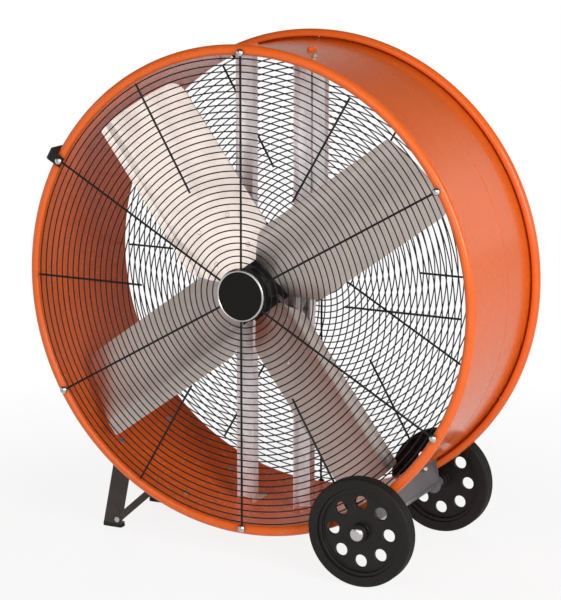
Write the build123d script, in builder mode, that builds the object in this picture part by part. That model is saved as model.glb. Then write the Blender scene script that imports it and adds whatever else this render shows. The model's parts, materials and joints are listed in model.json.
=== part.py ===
from build123d import *

# Drum fan: a sheet-steel drum with a wire guard at each end, a four-blade rotor driven straight by a
# motor behind its hub, two wheels on the right and two legs on the left.
# Millimetres, +Z up, floor at Z = 0. The drum's axis runs along Y at X = 0, and the front faces -Y.
# Angles are seen from the front, anticlockwise from the right.

import os
from math import atan2, cos, degrees, hypot, radians, sin, sqrt, tan

# ---- drum ----
AXIS_HEIGHT = 637.0
DRUM_INNER_RADIUS = 547.4
DRUM_SHEET = 1.6
DRUM_HALF_WIDTH = 196.0
BEAD_RADIUS = 12.0
BEAD_SWEEP = 290.0
SEAM_Y = 50.0
SEAM_DEPTH = 0.6
SEAM_HALF_WIDTH = 2.5

# ---- guards and badge ----
RING_WIRE_RADIUS = 1.5
RING_WIRE_SIDES = 6
RING_COUNT = 33
RING_FIRST_RADIUS = 61.0
RING_PITCH = 15.0
SPOKE_WIRE_RADIUS = 2.5
SPOKE_COUNT = 6
FIRST_LONG_SPOKE = 30.0
FIRST_SHORT_SPOKE = 0.0
LONG_SPOKE_START = 44.0
REAR_RING_COUNT = 35
REAR_RING_FIRST_RADIUS = 31.0
REAR_SPOKE_START = 29.0
SHORT_SPOKE_START = 262.0
WELD_GAP = 0.05
GUARD_SCREW_INSET = 5.0
GUARD_SCREW_RADIUS = 3.0
SCREW_HEAD_RADIUS = 9.0
SCREW_HEAD_HEIGHT = 6.0
SCREW_LENGTH = 22.0
SCREW_CROWN = (0.72, 0.62)
SCREW_BRIM = 0.18
BADGE_RADIUS = 60.0
BADGE_THICKNESS = 2.0
BEZEL_WIDTH = 5.0
BEZEL_HEIGHT = 4.0
BEZEL_GAP = 0.2

# ---- struts, motor plate and wiring ----
STRUT_X = 75.0
STRUT_WIDTH = 44.0
STRUT_DEPTH = 26.0
STRUT_SHEET = 2.5
STRUT_FRONT_Y = -50.0
STRUT_FOOT_LENGTH = 45.0
STRUT_FOOT_SHEET = 3.0
STRUT_BOLT_Y = (-8.0, 10.0)
PLATE_CORNER = 12.0
PLATE_HALF_HEIGHT = 76.0
PLATE_THICKNESS = 4.0
PLATE_BOLT_Z = 58.0
COVER_X = 114.5
COVER_WIDTH = 31.0
COVER_DEPTH = 20.0
COVER_SHEET = 1.5
COVER_LOWER_Z = 62.0
COVER_TAB_SHEET = 3.0
COVER_TAB_LENGTH = 40.0
COVER_BOLT_Y = -68.0
LEAD_RADIUS = 4.0
LEAD_X = 114.5
LEAD_OFFSET = 12.0
LEAD_TAIL = 4.0
LEAD_BOX_REACH = 19.0
LEAD_OUTER_GAP = 13.0
LEAD_OUTER_ANGLE = 119.0
LEAD_ENTRY_ANGLE = 111.0
LEAD_INNER_GAP = 12.0
LEAD_INNER_ANGLE = 91.0
COVER_LEAD_Y = -36.0
ENTRY_BEND = 10.0
WALL_BEND = 100.0
TOP_BEND = 30.0
TERMINAL_BEND = 25.0
CLIP_SHEET = 1.5
CLIP_WIDTH = 10.0
CLIP_SAGITTA = 0.1
GROMMET_RADIUS = 7.0
GROMMET_LIP = 2.0

# ---- motor ----
MOTOR_RADIUS = 82.0
MOTOR_SHELL = 3.0
MOTOR_BELL_LENGTH = 28.0
MOTOR_SHELL_LENGTH = 84.0
MOTOR_BELL_WALL = 8.0
MOTOR_NOSE_RADIUS = 30.0
MOTOR_NOSE_LENGTH = 20.0
MOTOR_BOLT_CIRCLE = 66.0
MOTOR_BOLT_ANGLES = (60.0, 120.0, 240.0, 300.0)
NOSE_LIP = 2.0
MOTOR_RIM_WALL = 8.0
SHAFT_OPENING = 11.0
REAR_CAP = 3.0
VENT_COUNT = 12
VENT_RADIUS = 5.0
VENT_CIRCLE = 50.0
STATOR_LENGTH = 60.0
STATOR_INNER_RADIUS = 50.0
AIR_GAP = 0.6
SHAFT_RADIUS = 9.5
SHAFT_END_GAP = 2.0
SHAFT_CLEARANCE = 0.05
BEARING_RADIUS = 20.0
BEARING_WIDTH = 14.0
TERMINAL_BOX_WIDTH = 52.0
TERMINAL_BOX_LENGTH = 60.0
TERMINAL_BOX_HEIGHT = 60.0
TERMINAL_BOX_X = 80.0
TERMINAL_BOX_Y = 25.0
TERMINAL_BOX_Z = -5.0
TERMINAL_ENTRY_Z = 25.0

# ---- rotor ----
ROTOR_Y = -150.0
BLADE_COUNT = 4
FIRST_BLADE_ANGLE = 36.0
BLADE_TIP_CLEARANCE = 28.4
BLADE_BLANK_MARGIN = 5.0
BLADE_ROOT_RADIUS = 58.0
BLADE_HALF_CHORD = 102.0
BLADE_PITCH = 21.5
BLADE_SHEET = 2.5
BLADE_CAMBER = 6.0
JOGGLE_START = 68.0
JOGGLE_WIDTH = 19.0
JOGGLE_HEIGHT = 4.5
SHOULDER_RADIUS = 112.0
HUB_RADIUS = 50.0
HUB_LENGTH = 52.0
HUB_BOLT_REACH = 20.0
HUB_BOLT_HEAD = 6.0
HUB_BOLT_END_GAP = 1.0
WASHER_RADIUS = 17.0
WASHER_SHEET = 3.0
BORE_FIT = 0.02
SHOULDER_FILLET = 50.0
ROOT_FILLET = 14.0
LEADING_TIP_FILLET = 34.0
TRAILING_TIP_FILLET = 10.0
ROOT_HALF_WIDTH = 52.0
ARM_SHEET = 5.0
ARM_HALF_WIDTH = 54.0
ARM_REACH = 200.0
RIVET_RADIUS = 2.5
RIVET_HEAD_RADIUS = 5.5
RIVET_HEAD_HEIGHT = 2.0
RIVET_TAPER = 30.0
RIVET_SPOTS = ((98.0, 40.0), (98.0, -40.0), (182.0, 36.0), (182.0, -36.0))

# ---- wheels and axle ----
WHEEL_RADIUS = 127.0
AXLE_DROP = 51.2
WHEEL_Y = 231.0
WHEEL_WIDTH = 36.0
TYRE_THICKNESS = 24.0
TYRE_INNER_RADIUS = WHEEL_RADIUS - TYRE_THICKNESS
TYRE_SHOULDER = 6.0
TREAD_GROOVE_Y = 5.5
TREAD_GROOVE_HALF_WIDTH = 1.5
TREAD_GROOVE_DEPTH = 2.5
WEB_THICKNESS = 9.0
WEB_OVERLAP = 1.0
WHEEL_RIM_WALL = 9.0
WHEEL_RIM_WIDTH = 26.0
WHEEL_HUB_RADIUS = 21.0
WHEEL_HUB_WIDTH = 40.0
WHEEL_HOLE_COUNT = 8
WHEEL_HOLE_START = -90.0
WHEEL_HOLE_RADIUS = 15.0
WHEEL_HOLE_CIRCLE = 69.0
AXLE_RADIUS = 8.0
AXLE_CLEARANCE = 0.08
HUB_CAP_RADIUS = 17.5
HUB_CAP_LENGTH = 12.0
HUB_CAP_DOME = 9.0
AXLE_CAP_REACH = 7.2
SPACER_RADIUS = 13.0
EAR_Y = 176.0
EAR_BOSS_RADIUS = 20.0
BRACKET_SHEET = 3.0
BRACKET_HALF_WIDTH = 42.0
BRACKET_WEB_OFFSET = 19.0
BRACKET_WEB_STOP = 3.0
BRACKET_BOLT_OFFSET = 32.0
BRACKET_BOLT_Y = 120.0

# ---- legs ----
LEG_FACE_Y = (-112.0, 113.0)
LEG_SHEET = 4.0
POST_WIDTH = 49.0
POST_FOOT_X = -411.0
POST_TOP_ANGLE = 228.3
POST_TAB_LENGTH = 50.0
POST_OVERREACH = 1.3
FOOT_LENGTH = 18.0
PAD_THICKNESS = 8.0
PAD_MARGIN = 2.0
PAD_CORNER = 6.0
TAB_BOLT_REACH = 28.0
BRACE_WIDTH = 17.0
BRACE_TOP_ANGLE = 242.5
BRACE_TAB_END_ANGLE = 251.5
BRACE_BOLT_ANGLE = 249.8
BRACE_FOOT_X = -393.0
BRACE_FOOT_Z = 22.0
BRACE_TAB_MARGIN = 3.0

# ---- handle ----
HANDLE_ANGLE = 150.0
HANDLE_STRAP_WIDTH = 26.0
HANDLE_SHEET = 3.0
HANDLE_CLEARANCE = 15.6
GRIP_LENGTH = 250.0
GRIP_WIDTH = 34.0
GRIP_THICKNESS = 15.0
GRIP_CORNER = 6.0
HANDLE_BEND = 12.0
HANDLE_END_MARGIN = 10.0

# ---- control box ----
BOX_ANGLE = 130.0
BOX_Y = 110.0
BOX_LENGTH = 90.0
BOX_WIDTH = 66.0
BOX_HEIGHT = 38.0
BOX_WALL = 2.5
BOX_COVER = 3.0
SWITCH_SIZE = 30.0
SWITCH_SHAFT_RADIUS = 3.0
KNOB_RADIUS = 15.0
KNOB_HEIGHT = 15.0
KNOB_SKIRT_HEIGHT = 4.0
KNOB_GRIP_WIDTH = 8.0
KNOB_GRIP_CORNER = 2.6
KNOB_GRIP_INSET = 0.5
KNOB_X = -18.0
KNOB_GAP = 0.6
KNOB_SHAFT_REACH = 14.0
BOX_CORNER = 6.0
BOX_BOLT_OFFSET = 32.0
BOX_SCREW_RADIUS = 2.0
BOX_SCREW_HEAD_RADIUS = 3.6
BOX_SCREW_HEAD_HEIGHT = 2.2
BOX_POST_RADIUS = 4.5
BOX_SCREW_INSET = 8.0
BOX_SCREW_REACH = 12.0
BOX_SCREW_END_GAP = 1.0
SWITCH_DEPTH = 24.0
GLAND_RADIUS = 11.0
GLAND_BORE_RADIUS = 4.2
GLAND_LENGTH = 22.0
GLAND_NECK_RADIUS = 8.0
GLAND_NUT_LENGTH = 8.0

# ---- fasteners and fits ----
BOLT_RADIUS = 4.0
BOLT_HEAD_RADIUS = 7.5
BOLT_HEAD_HEIGHT = 4.5
NUT_HEIGHT = 6.0
HOLE_CLEARANCE = 0.4
NUT_CLEARANCE = 0.1
SEAT_GAP = 0.3
BOLT_TAIL = 2.0
HEX_SIDES = 6
BURY = 10.0

DRUM_OUTER_RADIUS = DRUM_INNER_RADIUS + DRUM_SHEET
BEAD_CENTRE_RADIUS = DRUM_INNER_RADIUS + BEAD_RADIUS
GUARD_SCREW_CIRCLE = BEAD_CENTRE_RADIUS - GUARD_SCREW_INSET
BLADE_TIP_RADIUS = DRUM_INNER_RADIUS - BLADE_TIP_CLEARANCE
HANDLE_RADIUS = BEAD_CENTRE_RADIUS + BEAD_RADIUS + HANDLE_CLEARANCE
AXLE_DISTANCE = DRUM_OUTER_RADIUS + AXLE_DROP
WHEEL_X = sqrt(AXLE_DISTANCE ** 2 - (AXIS_HEIGHT - WHEEL_RADIUS) ** 2)
DRUM_FACE_Y = DRUM_HALF_WIDTH + BEAD_RADIUS
SPOKE_Y = DRUM_FACE_Y + SPOKE_WIRE_RADIUS
WEB_BACK_Y = STRUT_FRONT_Y + STRUT_DEPTH
PLATE_BACK_Y = WEB_BACK_Y + PLATE_THICKNESS
SHELL_START_Y = PLATE_BACK_Y + MOTOR_BELL_LENGTH
SHELL_END_Y = SHELL_START_Y + MOTOR_SHELL_LENGTH
MOTOR_END_Y = SHELL_END_Y + MOTOR_BELL_LENGTH
MOTOR_MIDDLE_Y = (SHELL_START_Y + SHELL_END_Y) / 2

DRUM_AXIS = Axis((0, 0, AXIS_HEIGHT), (0, 1, 0))
DRUM_SECTION = Plane(origin=(0, 0, AXIS_HEIGHT), x_dir=(0, 1, 0), z_dir=(1, 0, 0))
WHEEL_AXIS = Axis((WHEEL_X, 0, WHEEL_RADIUS), (0, 1, 0))
WHEEL_SECTION = Plane(origin=(WHEEL_X, 0, WHEEL_RADIUS), x_dir=(0, 1, 0), z_dir=(1, 0, 0))


def facing(y, angle=0.0):
    """Plane across the drum at depth y whose local x points from the axis towards angle."""
    turn = radians(angle)
    return Plane(origin=(0, y, AXIS_HEIGHT), x_dir=(cos(turn), 0, sin(turn)), z_dir=(0, -1, 0))


def outward(angle, y, radius):
    """Plane at a point round the drum: z points outward, x to the rear, y anticlockwise."""
    turn = radians(angle)
    spot = (radius * cos(turn), y, AXIS_HEIGHT + radius * sin(turn))
    return Plane(origin=spot, x_dir=(0, 1, 0), z_dir=(cos(turn), 0, sin(turn)))


def inward(angle, y, radius):
    """The same point, with z towards the axis."""
    turn = radians(angle)
    spot = (radius * cos(turn), y, AXIS_HEIGHT + radius * sin(turn))
    return Plane(origin=spot, x_dir=(0, 1, 0), z_dir=(-cos(turn), 0, -sin(turn)))


def polar(angle, radius, y):
    """Point round the drum's axis."""
    turn = radians(angle)
    return Vector(radius * cos(turn), y, AXIS_HEIGHT + radius * sin(turn))


def spoke_angles(first):
    """Angles of one set of guard spokes."""
    return [first + 360.0 / SPOKE_COUNT * k for k in range(SPOKE_COUNT)]


def bolts(seats, grip, head_radius=BOLT_HEAD_RADIUS, shank=BOLT_RADIUS):
    """Hexagon bolts with nuts: each seat's z points out of the head, and grip is what they clamp."""
    with BuildPart() as group:
        with BuildSketch(*seats):
            RegularPolygon(head_radius, HEX_SIDES)
        extrude(amount=BOLT_HEAD_HEIGHT)
        with BuildSketch(*seats):
            Circle(shank)
        extrude(amount=-(grip + NUT_HEIGHT + BOLT_TAIL))
        with BuildSketch(*[seat.offset(-grip) for seat in seats]):
            RegularPolygon(head_radius, HEX_SIDES)
            Circle(shank + NUT_CLEARANCE, mode=Mode.SUBTRACT)
        extrude(amount=-NUT_HEIGHT)
    return group


def save(name, piece):
    """Label a finished piece and write its file."""
    piece.part.label = name
    export_step(piece.part, f"parts/{name}.step")


MOTOR_BOLT_SPOTS = [(MOTOR_BOLT_CIRCLE * cos(radians(a)), MOTOR_BOLT_CIRCLE * sin(radians(a)))
                    for a in MOTOR_BOLT_ANGLES]


# ---- drum ----
def foot_angles(x):
    """Angles of the drum wall above and below x."""
    top = degrees(atan2(sqrt(DRUM_INNER_RADIUS ** 2 - x ** 2), x))
    return top, -top


STRUT_BOLT_SPOTS = [(angle, y)
                    for x in (-STRUT_X, STRUT_X) for angle in foot_angles(x) for y in STRUT_BOLT_Y]
COVER_BOLT_ANGLE = foot_angles(COVER_X)[0]
AXLE_ANGLE = degrees(atan2(WHEEL_RADIUS - AXIS_HEIGHT, WHEEL_X))
BRACKET_BOLT_SPREAD = degrees(BRACKET_BOLT_OFFSET / DRUM_OUTER_RADIUS)
BRACKET_BOLT_SPOTS = [(AXLE_ANGLE + side * BRACKET_BOLT_SPREAD, y)
                      for side in (-1, 1) for y in (-BRACKET_BOLT_Y, BRACKET_BOLT_Y)]
LEG_BOLT_SPOTS = [(angle, face - TAB_BOLT_REACH)
                  for face in LEG_FACE_Y for angle in (POST_TOP_ANGLE, BRACE_BOLT_ANGLE)]
BOX_SEAT_RADIUS = DRUM_OUTER_RADIUS + SEAT_GAP
BOX_BOLT_SPOTS = [(BOX_ANGLE, BOX_Y - BOX_BOLT_OFFSET), (BOX_ANGLE, BOX_Y + BOX_BOLT_OFFSET)]
LEAD_Y = BOX_Y + LEAD_OFFSET
LEAD_OUTER_RADIUS = DRUM_OUTER_RADIUS + LEAD_OUTER_GAP
LEAD_INNER_RADIUS = DRUM_INNER_RADIUS - LEAD_INNER_GAP


def drum_barrel():
    """Rolled sheet wall with an outward curl at each end and a shallow groove round it."""
    wall = DRUM_OUTER_RADIUS
    with BuildPart() as barrel:
        with BuildSketch(DRUM_SECTION):
            with BuildLine():
                Line((-DRUM_HALF_WIDTH, DRUM_INNER_RADIUS), (DRUM_HALF_WIDTH, DRUM_INNER_RADIUS))
                for end in (-1, 1):
                    centre = (end * DRUM_HALF_WIDTH, BEAD_CENTRE_RADIUS)
                    outside = CenterArc(centre, BEAD_RADIUS, -90, end * BEAD_SWEEP)
                    inside = CenterArc(centre, BEAD_RADIUS - DRUM_SHEET, -90, end * BEAD_SWEEP)
                    Line(outside @ 1, inside @ 1)
                Polyline(
                    (-DRUM_HALF_WIDTH, wall),
                    (SEAM_Y - SEAM_HALF_WIDTH, wall),
                    (SEAM_Y - SEAM_HALF_WIDTH / 2, wall - SEAM_DEPTH),
                    (SEAM_Y + SEAM_HALF_WIDTH / 2, wall - SEAM_DEPTH),
                    (SEAM_Y + SEAM_HALF_WIDTH, wall),
                    (DRUM_HALF_WIDTH, wall),
                )
            make_face()
        revolve(axis=DRUM_AXIS)
        spots = STRUT_BOLT_SPOTS + BRACKET_BOLT_SPOTS + LEG_BOLT_SPOTS + BOX_BOLT_SPOTS
        spots.append((COVER_BOLT_ANGLE, COVER_BOLT_Y))
        with Locations(*[outward(angle, y, wall) for angle, y in spots]):
            Cylinder(BOLT_RADIUS + HOLE_CLEARANCE, 6 * DRUM_SHEET, mode=Mode.SUBTRACT)
        with Locations(outward(LEAD_ENTRY_ANGLE, LEAD_Y, wall)):
            Cylinder(GROMMET_RADIUS, 6 * DRUM_SHEET, mode=Mode.SUBTRACT)
        for end in (-1, 1):
            with BuildSketch(facing(end * DRUM_HALF_WIDTH)):
                with PolarLocations(GUARD_SCREW_CIRCLE, SPOKE_COUNT, FIRST_LONG_SPOKE):
                    Circle(GUARD_SCREW_RADIUS + HOLE_CLEARANCE)
            extrude(amount=-end * 2 * BEAD_RADIUS, mode=Mode.SUBTRACT)
    return barrel


# ---- guards, their screws and the badge ----
def guard(end, first_ring, ring_count, spoke_start):
    """Flat wire guard: six-sided ring wires behind long eyed spokes, with short spokes between these."""
    spoke_y = end * SPOKE_Y
    short_angles = spoke_angles(FIRST_SHORT_SPOKE)
    ring_y = end * (SPOKE_Y - SPOKE_WIRE_RADIUS - RING_WIRE_RADIUS - WELD_GAP)
    rings = [first_ring + RING_PITCH * k for k in range(ring_count)]
    eyelet_radius = GUARD_SCREW_RADIUS + HOLE_CLEARANCE + SPOKE_WIRE_RADIUS
    with BuildPart() as grille:
        with BuildSketch(DRUM_SECTION):
            with Locations(*[(ring_y, radius) for radius in rings]):
                RegularPolygon(RING_WIRE_RADIUS, RING_WIRE_SIDES)
        revolve(axis=DRUM_AXIS)
        with BuildSketch(*[outward(a, spoke_y, spoke_start) for a in spoke_angles(FIRST_LONG_SPOKE)]):
            Circle(SPOKE_WIRE_RADIUS)
        extrude(amount=GUARD_SCREW_CIRCLE - eyelet_radius - spoke_start)
        with BuildSketch(*[outward(a, spoke_y, SHORT_SPOKE_START) for a in short_angles]):
            Circle(SPOKE_WIRE_RADIUS)
        extrude(amount=rings[-1] + RING_WIRE_RADIUS - SHORT_SPOKE_START)
        with Locations(*[polar(a, GUARD_SCREW_CIRCLE, spoke_y) for a in spoke_angles(FIRST_LONG_SPOKE)]):
            Torus(eyelet_radius, SPOKE_WIRE_RADIUS, rotation=(90, 0, 0))
    return grille


def guard_screws(end):
    """Domed screws through the eyelets; the one at the handle also holds the handle's strap."""
    seat_y = SPOKE_Y + SPOKE_WIRE_RADIUS
    with BuildPart() as screws:
        for angle in spoke_angles(FIRST_LONG_SPOKE):
            strap = HANDLE_SHEET if angle == HANDLE_ANGLE else 0.0
            spot = polar(angle, GUARD_SCREW_CIRCLE, end * (seat_y + strap))
            section = Plane(origin=spot, x_dir=(0, end, 0), z_dir=(end, 0, 0))
            with BuildSketch(section):
                with BuildLine():
                    Line((0, SCREW_HEAD_RADIUS), (0, GUARD_SCREW_RADIUS))
                    Line((0, GUARD_SCREW_RADIUS), (-SCREW_LENGTH, GUARD_SCREW_RADIUS))
                    Line((-SCREW_LENGTH, GUARD_SCREW_RADIUS), (-SCREW_LENGTH, 0))
                    Line((-SCREW_LENGTH, 0), (SCREW_HEAD_HEIGHT, 0))
                    dome = ThreePointArc(
                        (SCREW_HEAD_HEIGHT, 0),
                        (SCREW_HEAD_HEIGHT * SCREW_CROWN[0], SCREW_HEAD_RADIUS * SCREW_CROWN[1]),
                        (SCREW_HEAD_HEIGHT * SCREW_BRIM, SCREW_HEAD_RADIUS),
                    )
                    Line(dome @ 1, (0, SCREW_HEAD_RADIUS))
                make_face()
            revolve(axis=Axis(spot, (0, 1, 0)))
    return screws


def badge_disc():
    """Plain round plate on the front of the spokes."""
    with BuildPart() as disc:
        with BuildSketch(facing(-SPOKE_Y - SPOKE_WIRE_RADIUS)):
            Circle(BADGE_RADIUS - BEZEL_WIDTH)
        extrude(amount=BADGE_THICKNESS)
    return disc


def badge_bezel():
    """Bright rounded ring round the badge."""
    face_y = -SPOKE_Y - SPOKE_WIRE_RADIUS
    inner = BADGE_RADIUS - BEZEL_WIDTH + BEZEL_GAP
    with BuildPart() as bezel:
        with BuildSketch(DRUM_SECTION):
            with BuildLine():
                Polyline((face_y - BEZEL_HEIGHT / 2, inner), (face_y, inner), (face_y, BADGE_RADIUS),
                         (face_y - BEZEL_HEIGHT / 2, BADGE_RADIUS))
                ThreePointArc(
                    (face_y - BEZEL_HEIGHT / 2, BADGE_RADIUS),
                    (face_y - BEZEL_HEIGHT, (inner + BADGE_RADIUS) / 2),
                    (face_y - BEZEL_HEIGHT / 2, inner),
                )
            make_face()
        revolve(axis=DRUM_AXIS)
    return bezel


def badge_backing():
    """Steel disc behind the spokes that clamps the badge to them."""
    with BuildPart() as backing:
        with BuildSketch(facing(-SPOKE_Y + SPOKE_WIRE_RADIUS + WELD_GAP)):
            Circle(RING_FIRST_RADIUS - 2 * RING_WIRE_RADIUS)
        extrude(amount=-BADGE_THICKNESS)
    return backing


# ---- struts, motor plate and wiring ----
WALL_FIT_RADIUS = DRUM_INNER_RADIUS - SEAT_GAP


def strut(side):
    """Upright channel, open to the front, with a foot bent back at each end along the drum wall."""
    x = side * STRUT_X
    web_y = WEB_BACK_Y - STRUT_SHEET / 2
    flange_x = (STRUT_WIDTH - STRUT_SHEET) / 2
    with BuildPart() as channel:
        with BuildSketch(Plane.XY.offset(AXIS_HEIGHT - DRUM_INNER_RADIUS)):
            with Locations((x, web_y)):
                Rectangle(STRUT_WIDTH, STRUT_SHEET)
            with Locations((x - flange_x, STRUT_FRONT_Y), (x + flange_x, STRUT_FRONT_Y)):
                Rectangle(STRUT_SHEET, STRUT_DEPTH, align=(Align.CENTER, Align.MIN))
        extrude(amount=2 * DRUM_INNER_RADIUS)
        with BuildSketch(facing(WEB_BACK_Y)):
            Circle(WALL_FIT_RADIUS)
        extrude(amount=STRUT_DEPTH, mode=Mode.INTERSECT)
        with BuildSketch(facing(WEB_BACK_Y + STRUT_FOOT_LENGTH)):
            Circle(WALL_FIT_RADIUS)
            Circle(WALL_FIT_RADIUS - STRUT_FOOT_SHEET, mode=Mode.SUBTRACT)
            with Locations((x, 0)):
                Rectangle(STRUT_WIDTH, 2 * DRUM_INNER_RADIUS, mode=Mode.INTERSECT)
        extrude(amount=STRUT_FOOT_LENGTH + STRUT_SHEET)
        seats = [outward(a, y, WALL_FIT_RADIUS) for a, y in STRUT_BOLT_SPOTS if x * cos(radians(a)) > 0]
        with Locations(*seats):
            Cylinder(BOLT_RADIUS + HOLE_CLEARANCE, 4 * STRUT_FOOT_SHEET, mode=Mode.SUBTRACT)
        with BuildSketch(facing(WEB_BACK_Y)):
            with Locations((x, -PLATE_BOLT_Z), (x, PLATE_BOLT_Z)):
                Circle(BOLT_RADIUS + HOLE_CLEARANCE)
        extrude(amount=STRUT_SHEET, mode=Mode.SUBTRACT)
    return channel


def motor_plate():
    """Plate across the backs of both struts, holed for the motor's nose and bolts."""
    with BuildPart() as plate:
        with BuildSketch(facing(PLATE_BACK_Y)):
            RectangleRounded(2 * STRUT_X + STRUT_WIDTH, 2 * PLATE_HALF_HEIGHT, PLATE_CORNER)
            Circle(MOTOR_NOSE_RADIUS + HOLE_CLEARANCE, mode=Mode.SUBTRACT)
            with GridLocations(2 * STRUT_X, 2 * PLATE_BOLT_Z, 2, 2):
                Circle(BOLT_RADIUS + HOLE_CLEARANCE, mode=Mode.SUBTRACT)
            with Locations(*MOTOR_BOLT_SPOTS):
                Circle(BOLT_RADIUS + HOLE_CLEARANCE, mode=Mode.SUBTRACT)
        extrude(amount=PLATE_THICKNESS)
    return plate


def wiring_cover():
    """Hat-section channel beside the right strut, from the drum's top down to the motor."""
    cover_front = WEB_BACK_Y - COVER_DEPTH
    side_x = (COVER_WIDTH - COVER_SHEET) / 2
    lip_start = STRUT_X + STRUT_WIDTH / 2 + WELD_GAP
    lip_end = COVER_X - COVER_WIDTH / 2 + COVER_SHEET
    with BuildPart() as cover:
        with BuildSketch(Plane.XY.offset(AXIS_HEIGHT + COVER_LOWER_Z)):
            with Locations((COVER_X, cover_front + COVER_SHEET / 2)):
                Rectangle(COVER_WIDTH, COVER_SHEET)
            with Locations((COVER_X - side_x, cover_front), (COVER_X + side_x, cover_front)):
                Rectangle(COVER_SHEET, COVER_DEPTH, align=(Align.CENTER, Align.MIN))
            with Locations((lip_start, WEB_BACK_Y - COVER_SHEET)):
                Rectangle(lip_end - lip_start, COVER_SHEET, align=(Align.MIN, Align.MIN))
        extrude(amount=DRUM_INNER_RADIUS)
        with BuildSketch(facing(WEB_BACK_Y)):
            Circle(WALL_FIT_RADIUS)
        extrude(amount=COVER_DEPTH, mode=Mode.INTERSECT)
        with BuildSketch(facing(cover_front + COVER_SHEET)):
            Circle(WALL_FIT_RADIUS)
            Circle(WALL_FIT_RADIUS - COVER_TAB_SHEET, mode=Mode.SUBTRACT)
            with Locations((COVER_X, DRUM_INNER_RADIUS)):
                Rectangle(COVER_WIDTH, DRUM_INNER_RADIUS, mode=Mode.INTERSECT)
        extrude(amount=COVER_TAB_LENGTH)
        with Locations(outward(COVER_BOLT_ANGLE, COVER_BOLT_Y, WALL_FIT_RADIUS)):
            Cylinder(BOLT_RADIUS + HOLE_CLEARANCE, 4 * COVER_TAB_SHEET, mode=Mode.SUBTRACT)
    return cover


def lead_exit_plane():
    """Plane on the control box's upper side wall where the cable leaves it, z out of the box."""
    box_side = outward(BOX_ANGLE, LEAD_Y, LEAD_OUTER_RADIUS)
    exit_point = box_side.origin - box_side.y_dir * (BOX_WIDTH / 2)
    return Plane(origin=exit_point, x_dir=(0, 1, 0), z_dir=-box_side.y_dir)


def motor_lead():
    """Cable from the control box round the drum, through its wall and down the wiring cover."""
    top_z = AXIS_HEIGHT + sqrt(LEAD_INNER_RADIUS ** 2 - LEAD_X ** 2)
    box_exit = lead_exit_plane()
    route = [
        box_exit.origin - box_exit.z_dir * (BOX_WALL + LEAD_TAIL),
        box_exit.origin + box_exit.z_dir * LEAD_BOX_REACH,
        polar(LEAD_OUTER_ANGLE, LEAD_OUTER_RADIUS, LEAD_Y),
        polar(LEAD_ENTRY_ANGLE, LEAD_OUTER_RADIUS, LEAD_Y),
        polar(LEAD_ENTRY_ANGLE, LEAD_INNER_RADIUS, LEAD_Y),
        polar(LEAD_INNER_ANGLE, LEAD_INNER_RADIUS, LEAD_Y),
        Vector(LEAD_X, LEAD_Y, top_z),
        Vector(LEAD_X, COVER_LEAD_Y, top_z),
        Vector(LEAD_X, COVER_LEAD_Y, AXIS_HEIGHT + TERMINAL_ENTRY_Z),
        Vector(LEAD_X, TERMINAL_BOX_Y, AXIS_HEIGHT + TERMINAL_ENTRY_Z),
    ]
    bends = [WALL_BEND, WALL_BEND, ENTRY_BEND, ENTRY_BEND, WALL_BEND, TOP_BEND, TOP_BEND, TERMINAL_BEND]
    with BuildPart() as lead:
        with BuildLine() as path:
            FilletPolyline(*route, radius=bends)
        with BuildSketch(Plane(origin=path.line @ 0, z_dir=path.line % 0)):
            Circle(LEAD_RADIUS)
        sweep()
    return lead


def lead_clips():
    """Saddles that hold the cable to the drum wall, one outside and one inside."""
    outer_foot = DRUM_OUTER_RADIUS + WELD_GAP
    inner_foot = WALL_FIT_RADIUS - CLIP_SAGITTA
    runs = [
        (-1, LEAD_OUTER_ANGLE, LEAD_OUTER_RADIUS, outer_foot),
        (1, LEAD_INNER_ANGLE, LEAD_INNER_RADIUS, inner_foot),
    ]
    with BuildPart() as clips:
        for side, far_angle, along, foot in runs:
            middle = (LEAD_ENTRY_ANGLE + far_angle) / 2
            cable_radius = along * cos(radians(far_angle - middle))
            drop = side * (foot - cable_radius)
            seat = Plane(origin=polar(middle, foot, LEAD_Y), x_dir=(0, 1, 0),
                         z_dir=(-side * sin(radians(middle)), 0, side * cos(radians(middle))))
            with BuildSketch(seat):
                with Locations((0, drop)):
                    Circle(LEAD_RADIUS + CLIP_SHEET)
                Rectangle(2 * (LEAD_RADIUS + CLIP_SHEET), drop, align=(Align.CENTER, Align.MIN))
                with Locations((0, drop)):
                    Circle(LEAD_RADIUS + SEAT_GAP, mode=Mode.SUBTRACT)
            extrude(amount=CLIP_WIDTH / 2, both=True)
    return clips


# ---- motor ----
def front_bell():
    """Motor's front end: a disc with a rim, a nose through the plate and a bearing seat."""
    disc_back = PLATE_BACK_Y + MOTOR_BELL_WALL
    nose_front = PLATE_BACK_Y - MOTOR_NOSE_LENGTH
    with BuildPart() as bell:
        with BuildSketch(DRUM_SECTION):
            with BuildLine():
                Polyline(
                    (nose_front, SHAFT_OPENING), (nose_front, MOTOR_NOSE_RADIUS),
                    (PLATE_BACK_Y, MOTOR_NOSE_RADIUS), (PLATE_BACK_Y, MOTOR_RADIUS),
                    (SHELL_START_Y, MOTOR_RADIUS), (SHELL_START_Y, MOTOR_RADIUS - MOTOR_RIM_WALL),
                    (disc_back, MOTOR_RADIUS - MOTOR_RIM_WALL), (disc_back, BEARING_RADIUS),
                    (nose_front + NOSE_LIP, BEARING_RADIUS), (nose_front + NOSE_LIP, SHAFT_OPENING),
                    close=True,
                )
            make_face()
        revolve(axis=DRUM_AXIS)
        with BuildSketch(facing(PLATE_BACK_Y)):
            with Locations(*MOTOR_BOLT_SPOTS):
                Circle(BOLT_RADIUS + HOLE_CLEARANCE)
        extrude(amount=-MOTOR_BELL_WALL, mode=Mode.SUBTRACT)
    return bell


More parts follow.
